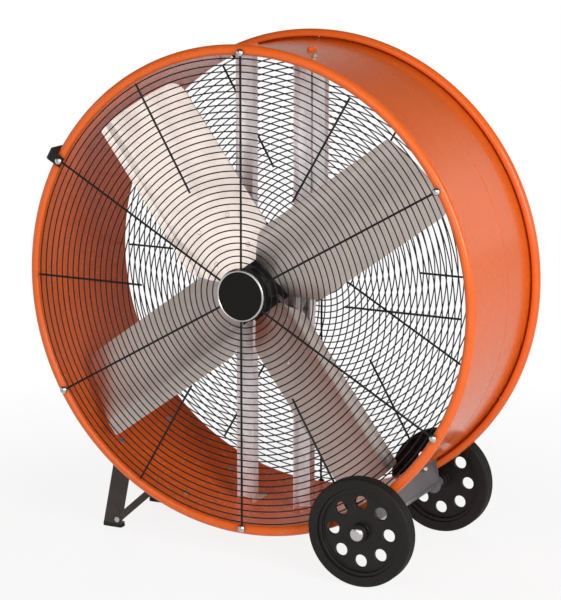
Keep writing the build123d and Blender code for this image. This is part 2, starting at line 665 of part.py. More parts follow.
def rear_bell():
    """Motor's rear end: a vented disc with a rim and a closed bearing seat."""
    disc_front = MOTOR_END_Y - MOTOR_BELL_WALL
    seat_start = disc_front - BEARING_WIDTH
    with BuildPart() as bell:
        with BuildSketch(DRUM_SECTION):
            with BuildLine():
                Polyline(
                    (seat_start, BEARING_RADIUS), (seat_start, MOTOR_NOSE_RADIUS),
                    (disc_front, MOTOR_NOSE_RADIUS), (disc_front, MOTOR_RADIUS - MOTOR_RIM_WALL),
                    (SHELL_END_Y, MOTOR_RADIUS - MOTOR_RIM_WALL), (SHELL_END_Y, MOTOR_RADIUS),
                    (MOTOR_END_Y, MOTOR_RADIUS), (MOTOR_END_Y, 0),
                    (MOTOR_END_Y - REAR_CAP, 0), (MOTOR_END_Y - REAR_CAP, SHAFT_OPENING),
                    (disc_front, SHAFT_OPENING), (disc_front, BEARING_RADIUS),
                    close=True,
                )
            make_face()
        revolve(axis=DRUM_AXIS)
        with BuildSketch(facing(MOTOR_END_Y)):
            with PolarLocations(VENT_CIRCLE, VENT_COUNT):
                Circle(VENT_RADIUS)
        extrude(amount=MOTOR_BELL_WALL, mode=Mode.SUBTRACT)
    return bell


def ring(start_y, end_y, inner, outer):
    """Plain ring about the drum's axis."""
    with BuildPart() as band:
        with BuildSketch(facing(end_y)):
            Circle(outer)
            Circle(inner, mode=Mode.SUBTRACT)
        extrude(amount=end_y - start_y)
    return band


def bearings():
    """One bearing in the nose and one in the rear bell."""
    front_start = PLATE_BACK_Y - MOTOR_NOSE_LENGTH + NOSE_LIP
    rear_end = MOTOR_END_Y - MOTOR_BELL_WALL
    with BuildPart() as pair:
        with BuildSketch(facing(front_start + BEARING_WIDTH), facing(rear_end)):
            Circle(BEARING_RADIUS)
            Circle(SHAFT_RADIUS + SHAFT_CLEARANCE, mode=Mode.SUBTRACT)
        extrude(amount=BEARING_WIDTH)
    return pair


def terminal_box():
    """Box on the motor's right side that the cable enters from the front."""
    with BuildPart() as box:
        with Locations((TERMINAL_BOX_X, TERMINAL_BOX_Y, AXIS_HEIGHT + TERMINAL_BOX_Z)):
            Box(TERMINAL_BOX_WIDTH, TERMINAL_BOX_LENGTH, TERMINAL_BOX_HEIGHT, align=(Align.MIN,) * 3)
        fillet(box.edges().filter_by(Axis.Y).group_by(Axis.X)[-1], BOX_CORNER)
        with BuildSketch(facing(MOTOR_END_Y)):
            Circle(MOTOR_RADIUS + SEAT_GAP)
        extrude(amount=MOTOR_END_Y - TERMINAL_BOX_Y, mode=Mode.SUBTRACT)
    return box


# ---- rotor: shaft, core, hub and blades ----
BLADE_ANGLES = [FIRST_BLADE_ANGLE + 360.0 / BLADE_COUNT * k for k in range(BLADE_COUNT)]
HUB_FRONT_Y = ROTOR_Y - HUB_LENGTH / 2
SHAFT_REAR_Y = MOTOR_END_Y - REAR_CAP - SHAFT_END_GAP
PITCH_SLOPE = tan(radians(BLADE_PITCH))
CHORD_START = (BLADE_HALF_CHORD * PITCH_SLOPE, -BLADE_HALF_CHORD)
CHORD_END = (-JOGGLE_START * PITCH_SLOPE, JOGGLE_START)
CHORD = hypot(CHORD_END[0] - CHORD_START[0], CHORD_END[1] - CHORD_START[1])
CAMBER_RADIUS = (CHORD ** 2 / 4 + BLADE_CAMBER ** 2) / (2 * BLADE_CAMBER)
CAMBER_DROP = CAMBER_RADIUS - BLADE_CAMBER
CAMBER_CENTRE = (
    (CHORD_START[0] + CHORD_END[0]) / 2 - CAMBER_DROP * cos(radians(BLADE_PITCH)),
    (CHORD_START[1] + CHORD_END[1]) / 2 - CAMBER_DROP * sin(radians(BLADE_PITCH)),
)
BLADE_DEPTH = BLADE_SHEET / cos(radians(BLADE_PITCH))
ARM_DEPTH = ARM_SHEET / cos(radians(BLADE_PITCH))


def blade_face(across):
    """Depth of the blade's front face behind the rotor's middle, at a distance across the blade."""
    return CAMBER_CENTRE[0] + sqrt(CAMBER_RADIUS ** 2 - (across - CAMBER_CENTRE[1]) ** 2)


def blade_slope(across):
    """How fast the front face's depth changes across the blade."""
    return -(across - CAMBER_CENTRE[1]) / sqrt(CAMBER_RADIUS ** 2 - (across - CAMBER_CENTRE[1]) ** 2)


def curved_strip(start, end, front, back):
    """Closed outline between two copies of the blade's curve, moved back by front and back."""
    middle = (start + end) / 2
    ends = [(blade_face(across) + front, across) for across in (start, middle, end)]
    backs = [(blade_face(across) + back, across) for across in (start, middle, end)]
    ThreePointArc(*ends)
    ThreePointArc(*backs)
    Line(ends[0], backs[0])
    return ends[2], backs[2]


def rivet_seats(angle):
    """Places on the blade's front face, square to the sheet, where its rivets sit."""
    turn = radians(angle)
    along = Vector(cos(turn), 0, sin(turn))
    across_way = Vector(-sin(turn), 0, cos(turn))
    seats = []
    for reach, across in RIVET_SPOTS:
        spot = Vector(0, ROTOR_Y + blade_face(across), AXIS_HEIGHT) + along * reach + across_way * across
        normal = across_way * blade_slope(across) - Vector(0, 1, 0)
        seats.append(Plane(origin=spot, x_dir=along, z_dir=normal))
    return seats


def blade(angle):
    """Cambered sheet blade with a step and lip along its trailing edge."""
    blank_start = BLADE_ROOT_RADIUS - BURY
    blank_end = BLADE_TIP_RADIUS + BLADE_BLANK_MARGIN
    blank_side = BLADE_HALF_CHORD + BLADE_BLANK_MARGIN
    with BuildPart() as sheet:
        with BuildSketch(outward(angle, ROTOR_Y, blank_start)):
            with BuildLine():
                front, back = curved_strip(-blank_side, JOGGLE_START, 0, BLADE_DEPTH)
                step = JOGGLE_HEIGHT - JOGGLE_WIDTH * PITCH_SLOPE
                lip = -(blank_side - JOGGLE_START - JOGGLE_WIDTH) * PITCH_SLOPE
                after_step = JOGGLE_START + JOGGLE_WIDTH
                Polyline(
                    front,
                    (front[0] + step, after_step),
                    (front[0] + step + lip, blank_side),
                    (back[0] + step + lip, blank_side),
                    (back[0] + step, after_step),
                    back,
                )
            make_face()
        extrude(amount=BLADE_TIP_RADIUS)
        with BuildSketch(facing(ROTOR_Y + 2 * BLADE_HALF_CHORD, angle)) as outline:
            with BuildLine():
                Polyline(
                    (BLADE_ROOT_RADIUS, -ROOT_HALF_WIDTH), (BLADE_ROOT_RADIUS, ROOT_HALF_WIDTH),
                    (SHOULDER_RADIUS, BLADE_HALF_CHORD), (blank_end, BLADE_HALF_CHORD),
                    (blank_end, -BLADE_HALF_CHORD), (SHOULDER_RADIUS, -BLADE_HALF_CHORD),
                    close=True,
                )
            make_face()
            Circle(BLADE_TIP_RADIUS, mode=Mode.INTERSECT)
            fillet(outline.vertices().group_by(Axis.Y)[0].sort_by(Axis.X)[-1], LEADING_TIP_FILLET)
            fillet(outline.vertices().group_by(Axis.Y)[-1].sort_by(Axis.X)[-1], TRAILING_TIP_FILLET)
            fillet(outline.vertices().group_by(Axis.Y)[0].sort_by(Axis.X)[0], SHOULDER_FILLET)
            fillet(outline.vertices().group_by(Axis.Y)[-1].sort_by(Axis.X)[0], SHOULDER_FILLET)
            fillet(outline.vertices().group_by(Axis.X)[0], ROOT_FILLET)
        extrude(amount=4 * BLADE_HALF_CHORD, mode=Mode.INTERSECT)
        with Locations(*rivet_seats(angle)):
            Cylinder(RIVET_RADIUS + NUT_CLEARANCE, 6 * BLADE_SHEET, mode=Mode.SUBTRACT)
    return sheet


def hub_spider():
    """Cast hub on the shaft with an arm behind each blade."""
    with BuildPart() as hub:
        with BuildSketch(facing(HUB_FRONT_Y)):
            Circle(HUB_RADIUS)
        extrude(amount=-HUB_LENGTH)
        for angle in BLADE_ANGLES:
            with BuildSketch(outward(angle, ROTOR_Y, HUB_RADIUS - BURY)):
                with BuildLine():
                    start = BLADE_DEPTH + WELD_GAP
                    front, back = curved_strip(-ARM_HALF_WIDTH, ARM_HALF_WIDTH, start, start + ARM_DEPTH)
                    Line(front, back)
                make_face()
            extrude(amount=ARM_REACH - HUB_RADIUS + BURY)
        with BuildSketch(facing(HUB_FRONT_Y)):
            Circle(SHAFT_RADIUS + BORE_FIT)
        extrude(amount=-HUB_LENGTH, mode=Mode.SUBTRACT)
        for angle in BLADE_ANGLES:
            with Locations(*rivet_seats(angle)):
                Cylinder(RIVET_RADIUS + NUT_CLEARANCE, 6 * ARM_SHEET, mode=Mode.SUBTRACT)
    return hub


def blade_rivets():
    """Four rivets for each blade, through its arm."""
    grip = BLADE_SHEET + ARM_SHEET + WELD_GAP
    with BuildPart() as rivets:
        for angle in BLADE_ANGLES:
            seats = rivet_seats(angle)
            with BuildSketch(*[seat.offset(WELD_GAP) for seat in seats]):
                Circle(RIVET_HEAD_RADIUS)
            extrude(amount=RIVET_HEAD_HEIGHT, taper=RIVET_TAPER)
            with BuildSketch(*seats):
                Circle(RIVET_RADIUS)
            extrude(amount=-grip - RIVET_HEAD_HEIGHT)
            with BuildSketch(*seats):
                Circle(RIVET_RADIUS)
            extrude(amount=2 * WELD_GAP)
            with BuildSketch(*[seat.offset(-grip - 4 * WELD_GAP) for seat in seats]):
                Circle(RIVET_HEAD_RADIUS)
            extrude(amount=-RIVET_HEAD_HEIGHT, taper=RIVET_TAPER)
    return rivets


def motor_shaft():
    """Shaft from the hub's front to the rear bearing, drilled for the hub's bolt."""
    with BuildPart() as shaft:
        with BuildSketch(facing(SHAFT_REAR_Y)):
            Circle(SHAFT_RADIUS)
        extrude(amount=SHAFT_REAR_Y - HUB_FRONT_Y)
        with BuildSketch(facing(HUB_FRONT_Y)):
            Circle(BOLT_RADIUS + NUT_CLEARANCE)
        extrude(amount=-HUB_BOLT_REACH, mode=Mode.SUBTRACT)
    return shaft


def hub_bolt():
    """Bolt and washer that hold the hub on the shaft."""
    with BuildPart() as bolt:
        with BuildSketch(facing(HUB_FRONT_Y)):
            Circle(WASHER_RADIUS)
        extrude(amount=WASHER_SHEET)
        with BuildSketch(facing(HUB_FRONT_Y - WASHER_SHEET)):
            RegularPolygon(BOLT_HEAD_RADIUS, HEX_SIDES)
        extrude(amount=HUB_BOLT_HEAD)
        with BuildSketch(facing(HUB_FRONT_Y)):
            Circle(BOLT_RADIUS)
        extrude(amount=HUB_BOLT_END_GAP - HUB_BOLT_REACH)
    return bolt


# ---- wheels, axle and bracket ----
HUB_END_Y = WHEEL_Y + WHEEL_HUB_WIDTH / 2
AXLE_HALF_LENGTH = HUB_END_Y + AXLE_CAP_REACH


def tyre(end):
    """Solid tyre with rounded shoulders and two grooves round the tread."""
    half = WHEEL_WIDTH / 2
    y = end * WHEEL_Y
    floor = WHEEL_RADIUS - TREAD_GROOVE_DEPTH
    flank = WHEEL_RADIUS - TYRE_SHOULDER
    with BuildPart() as rubber:
        with BuildSketch(WHEEL_SECTION):
            with BuildLine():
                Polyline((y + half, flank), (y + half, TYRE_INNER_RADIUS), (y - half, TYRE_INNER_RADIUS),
                         (y - half, flank))
                RadiusArc((y - half, flank), (y - half + TYRE_SHOULDER, WHEEL_RADIUS), TYRE_SHOULDER)
                points = [(y - half + TYRE_SHOULDER, WHEEL_RADIUS)]
                for groove in (-TREAD_GROOVE_Y, TREAD_GROOVE_Y):
                    start = y + groove - TREAD_GROOVE_HALF_WIDTH
                    end_y = y + groove + TREAD_GROOVE_HALF_WIDTH
                    points += [(start, WHEEL_RADIUS), (start, floor), (end_y, floor), (end_y, WHEEL_RADIUS)]
                points.append((y + half - TYRE_SHOULDER, WHEEL_RADIUS))
                Polyline(*points)
                RadiusArc((y + half - TYRE_SHOULDER, WHEEL_RADIUS), (y + half, flank), TYRE_SHOULDER)
            make_face()
        revolve(axis=WHEEL_AXIS)
    return rubber


def wheel(end):
    """Moulded wheel: hub with a bore, holed web and rim under the tyre."""
    y = end * WHEEL_Y
    bore = AXLE_RADIUS + AXLE_CLEARANCE
    rim = TYRE_INNER_RADIUS - WELD_GAP
    bands = (
        (bore, WHEEL_HUB_RADIUS, WHEEL_HUB_WIDTH),
        (WHEEL_HUB_RADIUS - WEB_OVERLAP, rim - WHEEL_RIM_WALL + WEB_OVERLAP, WEB_THICKNESS),
        (rim - WHEEL_RIM_WALL, rim, WHEEL_RIM_WIDTH),
    )
    with BuildPart() as disc:
        with BuildSketch(WHEEL_SECTION):
            for inner, outer, width in bands:
                with Locations((y, inner)):
                    Rectangle(width, outer - inner, align=(Align.CENTER, Align.MIN))
        revolve(axis=WHEEL_AXIS)
        hole_plane = Plane(origin=(WHEEL_X, y + WEB_THICKNESS, WHEEL_RADIUS), x_dir=(1, 0, 0),
                           z_dir=(0, -1, 0))
        with BuildSketch(hole_plane):
            with PolarLocations(WHEEL_HOLE_CIRCLE, WHEEL_HOLE_COUNT, start_angle=WHEEL_HOLE_START):
                Circle(WHEEL_HOLE_RADIUS)
        extrude(amount=2 * WEB_THICKNESS, mode=Mode.SUBTRACT)
    return disc


def axle():
    """Round bar through the bracket and both wheels."""
    with BuildPart() as bar:
        with BuildSketch(Plane(origin=(WHEEL_X, AXLE_HALF_LENGTH, WHEEL_RADIUS), x_dir=(1, 0, 0),
                               z_dir=(0, -1, 0))):
            Circle(AXLE_RADIUS)
        extrude(amount=2 * AXLE_HALF_LENGTH)
    return bar


def wheel_spacers():
    """Tube between each bracket ear and its wheel."""
    start = EAR_Y + BRACKET_SHEET + WELD_GAP
    length = WHEEL_Y - WHEEL_HUB_WIDTH / 2 - SEAT_GAP - start
    with BuildPart() as tubes:
        for end in (-1, 1):
            spot = (WHEEL_X, end * start, WHEEL_RADIUS)
            plane = Plane(origin=spot, x_dir=(1, 0, 0), z_dir=(0, end, 0))
            with BuildSketch(plane):
                Circle(SPACER_RADIUS)
                Circle(AXLE_RADIUS + NUT_CLEARANCE, mode=Mode.SUBTRACT)
            extrude(amount=length)
    return tubes


def hub_caps():
    """Domed push-on cap on each end of the axle."""
    with BuildPart() as caps:
        for end in (-1, 1):
            start = Plane(origin=(WHEEL_X, end * (HUB_END_Y + SEAT_GAP), WHEEL_RADIUS), x_dir=(1, 0, 0),
                          z_dir=(0, end, 0))
            with BuildSketch(start):
                Circle(HUB_CAP_RADIUS)
            extrude(amount=HUB_CAP_LENGTH)
            fillet(caps.faces().sort_by(Axis.Y, reverse=end > 0)[0].edges(), HUB_CAP_DOME)
            with BuildSketch(start):
                Circle(AXLE_RADIUS + NUT_CLEARANCE / 2)
            extrude(amount=AXLE_HALF_LENGTH - HUB_END_Y - SEAT_GAP + NUT_CLEARANCE, mode=Mode.SUBTRACT)
    return caps


def axle_bracket():
    """Folded bracket under the drum: a flange on the wall, a web and an ear at each end."""
    seat = DRUM_OUTER_RADIUS + SEAT_GAP
    flange = seat + BRACKET_SHEET
    ear_start = seat - BURY
    with BuildPart() as bracket:
        for ear_back in (EAR_Y + BRACKET_SHEET, -EAR_Y):
            with BuildSketch(facing(ear_back, AXLE_ANGLE)):
                with Locations((AXLE_DISTANCE, 0)):
                    Circle(EAR_BOSS_RADIUS)
                with BuildLine():
                    Polyline((ear_start, -BRACKET_HALF_WIDTH), (AXLE_DISTANCE, -EAR_BOSS_RADIUS),
                             (AXLE_DISTANCE, EAR_BOSS_RADIUS), (ear_start, BRACKET_HALF_WIDTH), close=True)
                make_face()
                Circle(seat, mode=Mode.SUBTRACT)
            extrude(amount=BRACKET_SHEET)
        with BuildSketch(facing(EAR_Y, AXLE_ANGLE)):
            Circle(flange)
            Circle(seat, mode=Mode.SUBTRACT)
            with Locations((seat, 0)):
                Rectangle(2 * BRACKET_HALF_WIDTH, 2 * BRACKET_HALF_WIDTH, mode=Mode.INTERSECT)
        extrude(amount=2 * EAR_Y)
        with BuildSketch(facing(EAR_Y, AXLE_ANGLE)):
            with Locations((seat + BRACKET_SHEET / 2, BRACKET_WEB_OFFSET)):
                Rectangle(AXLE_DISTANCE - BRACKET_WEB_STOP - seat, BRACKET_SHEET,
                          align=(Align.MIN, Align.MIN))
        extrude(amount=2 * EAR_Y)
        with BuildSketch(facing(EAR_Y + BRACKET_SHEET, AXLE_ANGLE)):
            with Locations((AXLE_DISTANCE, 0)):
                Circle(AXLE_RADIUS + NUT_CLEARANCE)
        extrude(amount=2 * (EAR_Y + BRACKET_SHEET), mode=Mode.SUBTRACT)
        with Locations(*[outward(angle, y, flange) for angle, y in BRACKET_BOLT_SPOTS]):
            Cylinder(BOLT_RADIUS + HOLE_CLEARANCE, 4 * BRACKET_SHEET, mode=Mode.SUBTRACT)
    return bracket


# ---- legs ----
LEG_SEAT_RADIUS = DRUM_OUTER_RADIUS + SEAT_GAP
LEG_TAB_RADIUS = LEG_SEAT_RADIUS + LEG_SHEET
POST_FOOT = (POST_FOOT_X, PAD_THICKNESS - AXIS_HEIGHT)
POST_TOP = (LEG_TAB_RADIUS * cos(radians(POST_TOP_ANGLE)),
            LEG_TAB_RADIUS * sin(radians(POST_TOP_ANGLE)))
BRACE_FOOT = (BRACE_FOOT_X, BRACE_FOOT_Z - AXIS_HEIGHT)
BRACE_TOP = (LEG_TAB_RADIUS * cos(radians(BRACE_TOP_ANGLE)),
             LEG_TAB_RADIUS * sin(radians(BRACE_TOP_ANGLE)))


def post_corners():
    """Corners of a slanted strip from the foot to well inside the drum, level at the foot."""
    lean = (POST_TOP[0] - POST_FOOT[0]) / (POST_TOP[1] - POST_FOOT[1])
    rise = POST_OVERREACH * (POST_TOP[1] - POST_FOOT[1])
    half = POST_WIDTH / 2
    return [
        (POST_FOOT[0] - half, POST_FOOT[1]),
        (POST_FOOT[0] + half, POST_FOOT[1]),
        (POST_FOOT[0] + half + lean * rise, POST_FOOT[1] + rise),
        (POST_FOOT[0] - half + lean * rise, POST_FOOT[1] + rise),
    ]


def leg_post(face_y):
    """Flat post with its top bent forward under the drum and its foot bent to the rear."""
    back = face_y + LEG_SHEET
    with BuildPart() as post:
        with BuildSketch(facing(back)):
            with BuildLine():
                Polyline(*post_corners(), close=True)
            make_face()
            Circle(LEG_SEAT_RADIUS, mode=Mode.SUBTRACT)
        extrude(amount=LEG_SHEET)
        with BuildSketch(facing(face_y)):
            with BuildLine():
                Polyline(*post_corners(), close=True)
            make_face()
            Circle(LEG_TAB_RADIUS, mode=Mode.INTERSECT)
            Circle(LEG_SEAT_RADIUS, mode=Mode.SUBTRACT)
        extrude(amount=POST_TAB_LENGTH)
        with Locations((POST_FOOT_X, face_y, PAD_THICKNESS)):
            Box(POST_WIDTH, FOOT_LENGTH, LEG_SHEET, align=(Align.CENTER, Align.MIN, Align.MIN))
        with Locations(outward(POST_TOP_ANGLE, face_y - TAB_BOLT_REACH, LEG_TAB_RADIUS)):
            Cylinder(BOLT_RADIUS + HOLE_CLEARANCE, 4 * LEG_SHEET, mode=Mode.SUBTRACT)
        with BuildSketch(facing(back)):
            with Locations(BRACE_FOOT):
                Circle(BOLT_RADIUS + HOLE_CLEARANCE)
        extrude(amount=LEG_SHEET, mode=Mode.SUBTRACT)
    return post


def leg_brace(face_y):
    """Flat bar from the post's foot to the drum, with a tab bent forward along the wall."""
    slope = degrees(atan2(BRACE_TOP[1] - BRACE_FOOT[1], BRACE_TOP[0] - BRACE_FOOT[0]))
    reach = hypot(BRACE_TOP[0] - BRACE_FOOT[0], BRACE_TOP[1] - BRACE_FOOT[1])
    with BuildPart() as brace:
        with BuildSketch(facing(face_y)):
            with Locations(Location((BRACE_FOOT[0], BRACE_FOOT[1], 0), (0, 0, slope))):
                Circle(BRACE_WIDTH / 2)
                Rectangle(reach + BRACE_WIDTH, BRACE_WIDTH, align=(Align.MIN, Align.CENTER))
            Circle(LEG_SEAT_RADIUS, mode=Mode.SUBTRACT)
            with Locations(BRACE_FOOT):
                Circle(BOLT_RADIUS + HOLE_CLEARANCE, mode=Mode.SUBTRACT)
        extrude(amount=LEG_SHEET)
        with BuildSketch(facing(face_y)):
            with BuildLine():
                far = 2 * LEG_TAB_RADIUS
                start, end = radians(BRACE_TOP_ANGLE - BRACE_TAB_MARGIN), radians(BRACE_TAB_END_ANGLE)
                Polyline((0, 0), (far * cos(start), far * sin(start)), (far * cos(end), far * sin(end)),
                         close=True)
            make_face()
            Circle(LEG_TAB_RADIUS, mode=Mode.INTERSECT)
            Circle(LEG_SEAT_RADIUS, mode=Mode.SUBTRACT)
        extrude(amount=POST_TAB_LENGTH)
        with Locations(outward(BRACE_BOLT_ANGLE, face_y - TAB_BOLT_REACH, LEG_TAB_RADIUS)):
            Cylinder(BOLT_RADIUS + HOLE_CLEARANCE, 4 * LEG_SHEET, mode=Mode.SUBTRACT)
    return brace


def foot_pads():
    """Rubber pad under each leg's foot."""
    with BuildPart() as pads:
        for face_y in LEG_FACE_Y:
            with Locations((POST_FOOT_X, face_y + FOOT_LENGTH / 2, 0)):
                Box(POST_WIDTH + 2 * PAD_MARGIN, FOOT_LENGTH + 2 * PAD_MARGIN, PAD_THICKNESS,
                    align=(Align.CENTER, Align.CENTER, Align.MIN))
        fillet(pads.edges().filter_by(Axis.Z), PAD_CORNER)
    return pads


# ---- handle ----
def handle_strap():
    """Flat strap across the drum's width, bent down over both rolled edges."""
    turn = radians(HANDLE_ANGLE)
    profile = Plane(origin=(0, 0, AXIS_HEIGHT), x_dir=(0, 1, 0), z_dir=(sin(turn), 0, -cos(turn)))
    end_y = SPOKE_Y + SPOKE_WIRE_RADIUS
    foot = GUARD_SCREW_CIRCLE - HANDLE_END_MARGIN
    outside = HANDLE_RADIUS + HANDLE_SHEET
    far = end_y + HANDLE_SHEET
    with BuildPart() as strap:
        with BuildSketch(profile) as shape:
            with BuildLine():
                Polyline((-far, foot), (-far, outside), (far, outside), (far, foot), (end_y, foot),
                         (end_y, HANDLE_RADIUS), (-end_y, HANDLE_RADIUS), (-end_y, foot), close=True)
            make_face()
            fillet(shape.vertices().group_by(Axis.Y)[1], HANDLE_BEND - HANDLE_SHEET)
            fillet(shape.vertices().group_by(Axis.Y)[-1], HANDLE_BEND)
        extrude(amount=HANDLE_STRAP_WIDTH / 2, both=True)
        for end in (-1, 1):
            with BuildSketch(facing(end * end_y, HANDLE_ANGLE)):
                with Locations((GUARD_SCREW_CIRCLE, 0)):
                    Circle(GUARD_SCREW_RADIUS + HOLE_CLEARANCE)
            extrude(amount=-end * HANDLE_SHEET, mode=Mode.SUBTRACT)
    return strap


def handle_grip():
    """Moulded sleeve round the middle of the strap."""
    turn = radians(HANDLE_ANGLE)
    middle = HANDLE_RADIUS + HANDLE_SHEET / 2
    centre = (middle * cos(turn), GRIP_LENGTH / 2, AXIS_HEIGHT + middle * sin(turn))
    section = Plane(origin=centre, x_dir=(cos(turn), 0, sin(turn)), z_dir=(0, -1, 0))
    with BuildPart() as grip:
        with BuildSketch(section):
            RectangleRounded(GRIP_THICKNESS, GRIP_WIDTH, GRIP_CORNER)
            Rectangle(HANDLE_SHEET + 2 * NUT_CLEARANCE, HANDLE_STRAP_WIDTH + 2 * NUT_CLEARANCE,
                      mode=Mode.SUBTRACT)
        extrude(amount=GRIP_LENGTH)
    return grip


# ---- control box ----
def box_plane(height):
    """Plane above the box's seat on the drum: x to the rear, y anticlockwise, z outward."""
    return outward(BOX_ANGLE, BOX_Y, BOX_SEAT_RADIUS + height)


BOX_SCREW_X = BOX_LENGTH / 2 - BOX_SCREW_INSET
BOX_SCREW_Y = BOX_WIDTH / 2 - BOX_SCREW_INSET
GLAND_HEIGHT = BOX_HEIGHT / 2


def gland_plane():
    """Plane on the box's lower side wall, z out of the box."""
    turn = radians(BOX_ANGLE)
    side = Vector(-sin(turn), 0, cos(turn))
    return Plane(origin=box_plane(GLAND_HEIGHT).origin + side * (BOX_WIDTH / 2), x_dir=(0, 1, 0),
                 z_dir=(side.X, 0, side.Z))


def control_box():
    """Open box on the drum with a post for each cover screw."""
    with BuildPart() as box:
        with BuildSketch(box_plane(0)):
            RectangleRounded(BOX_LENGTH, BOX_WIDTH, BOX_CORNER)
        extrude(amount=BOX_HEIGHT)
        with BuildSketch(box_plane(BOX_WALL)):
            RectangleRounded(BOX_LENGTH - 2 * BOX_WALL, BOX_WIDTH - 2 * BOX_WALL, BOX_CORNER - BOX_WALL)
            with GridLocations(2 * BOX_SCREW_X, 2 * BOX_SCREW_Y, 2, 2):
                Circle(BOX_POST_RADIUS, mode=Mode.SUBTRACT)
        extrude(amount=BOX_HEIGHT - BOX_WALL, mode=Mode.SUBTRACT)
        with BuildSketch(box_plane(BOX_HEIGHT)):
            with GridLocations(2 * BOX_SCREW_X, 2 * BOX_SCREW_Y, 2, 2):
                Circle(BOX_SCREW_RADIUS + NUT_CLEARANCE)
        extrude(amount=-BOX_SCREW_REACH - BOX_SCREW_END_GAP, mode=Mode.SUBTRACT)
        with BuildSketch(lead_exit_plane()):
            Circle(GROMMET_RADIUS)
        extrude(amount=-BOX_WALL, mode=Mode.SUBTRACT)
        with BuildSketch(box_plane(0)):
            with Locations((-BOX_BOLT_OFFSET, 0), (BOX_BOLT_OFFSET, 0)):
                Circle(BOLT_RADIUS + HOLE_CLEARANCE)
        extrude(amount=BOX_WALL, mode=Mode.SUBTRACT)
        with BuildSketch(gland_plane()):
            Circle(GLAND_NECK_RADIUS + NUT_CLEARANCE)
        extrude(amount=-BOX_WALL, mode=Mode.SUBTRACT)
    return box


def control_box_cover():
    """Lid with four screw holes and a hole for the knob's shaft."""
    with BuildPart() as cover:
        with BuildSketch(box_plane(BOX_HEIGHT)):
            RectangleRounded(BOX_LENGTH, BOX_WIDTH, BOX_CORNER)
            with GridLocations(2 * BOX_SCREW_X, 2 * BOX_SCREW_Y, 2, 2):
                Circle(BOX_SCREW_RADIUS + NUT_CLEARANCE, mode=Mode.SUBTRACT)
            with Locations((KNOB_X, 0)):
                Circle(SWITCH_SHAFT_RADIUS + AXLE_CLEARANCE, mode=Mode.SUBTRACT)
        extrude(amount=BOX_COVER)
    return cover


def box_screws():
    """Four small screws in the lid."""
    with BuildPart() as screws:
        with BuildSketch(box_plane(BOX_HEIGHT + BOX_COVER)):
            with GridLocations(2 * BOX_SCREW_X, 2 * BOX_SCREW_Y, 2, 2):
                Circle(BOX_SCREW_HEAD_RADIUS)
        extrude(amount=BOX_SCREW_HEAD_HEIGHT)
        with BuildSketch(box_plane(BOX_HEIGHT + BOX_COVER)):
            with GridLocations(2 * BOX_SCREW_X, 2 * BOX_SCREW_Y, 2, 2):
                Circle(BOX_SCREW_RADIUS)
        extrude(amount=-BOX_COVER - BOX_SCREW_REACH)
    return screws


def speed_switch():
    """Rotary switch under the lid, bored for the knob's shaft."""
    with BuildPart() as switch:
        with BuildSketch(box_plane(BOX_HEIGHT)):
            with Locations((KNOB_X, 0)):
                Rectangle(SWITCH_SIZE, SWITCH_SIZE)
                Circle(SWITCH_SHAFT_RADIUS + AXLE_CLEARANCE, mode=Mode.SUBTRACT)
        extrude(amount=-SWITCH_DEPTH)
    return switch


def speed_knob():
    """Pointer knob and its shaft."""
    base = BOX_HEIGHT + BOX_COVER + KNOB_GAP
    with BuildPart() as knob:
        with BuildSketch(box_plane(base)):
            with Locations((KNOB_X, 0)):
                Circle(KNOB_RADIUS)
        extrude(amount=KNOB_SKIRT_HEIGHT)
        with BuildSketch(box_plane(base + KNOB_SKIRT_HEIGHT)):
            with Locations((KNOB_X, 0)):
                RectangleRounded(2 * (KNOB_RADIUS - KNOB_GRIP_INSET), KNOB_GRIP_WIDTH, KNOB_GRIP_CORNER)
        extrude(amount=KNOB_HEIGHT - KNOB_SKIRT_HEIGHT)
        with BuildSketch(box_plane(base)):
            with Locations((KNOB_X, 0)):
                Circle(SWITCH_SHAFT_RADIUS)
        extrude(amount=-KNOB_SHAFT_REACH)
    return knob


def cord_gland():
    """Gland in the box's lower side, bored for a supply cord."""
    with BuildPart() as gland:
        with BuildSketch(gland_plane()):
            RegularPolygon(GLAND_RADIUS, HEX_SIDES)
        extrude(amount=GLAND_NUT_LENGTH)
        with BuildSketch(gland_plane().offset(GLAND_NUT_LENGTH)):
            Circle(GLAND_NECK_RADIUS)
        extrude(amount=GLAND_LENGTH - GLAND_NUT_LENGTH - BOX_WALL)
        with BuildSketch(gland_plane()):
            Circle(GLAND_NECK_RADIUS)
        extrude(amount=-BOX_WALL)
        with BuildSketch(gland_plane().offset(-BOX_WALL)):
            Circle(GLAND_BORE_RADIUS)
        extrude(amount=GLAND_LENGTH, mode=Mode.SUBTRACT)
    return gland


def lead_grommets():
    """Rubber rings where the cable leaves the box and where it passes through the drum wall."""
    seats = [
        (lead_exit_plane(), BOX_WALL),
        (outward(LEAD_ENTRY_ANGLE, LEAD_Y, DRUM_OUTER_RADIUS), DRUM_SHEET),
    ]
    lip = GROMMET_LIP - SEAT_GAP
    with BuildPart() as grommets:
        for seat, wall in seats:
            with BuildSketch(seat.offset(GROMMET_LIP)):
                Circle(GROMMET_RADIUS - WELD_GAP)
            extrude(amount=-(wall + 2 * GROMMET_LIP))
            with BuildSketch(seat.offset(SEAT_GAP)):
                Circle(GROMMET_RADIUS + GROMMET_LIP)
            extrude(amount=lip)
            with BuildSketch(seat.offset(-wall - SEAT_GAP)):
                Circle(GROMMET_RADIUS + GROMMET_LIP)
            extrude(amount=-lip)
            with BuildSketch(seat.offset(GROMMET_LIP)):
                Circle(LEAD_RADIUS + NUT_CLEARANCE)
            extrude(amount=-(wall + 2 * GROMMET_LIP), mode=Mode.SUBTRACT)
    return grommets


# ---- bolts ----
def wall_bolts(spots, head_seat, grip):
    """Bolts through the drum wall with their heads inside."""
    return bolts([inward(angle, y, head_seat) for angle, y in spots], grip)


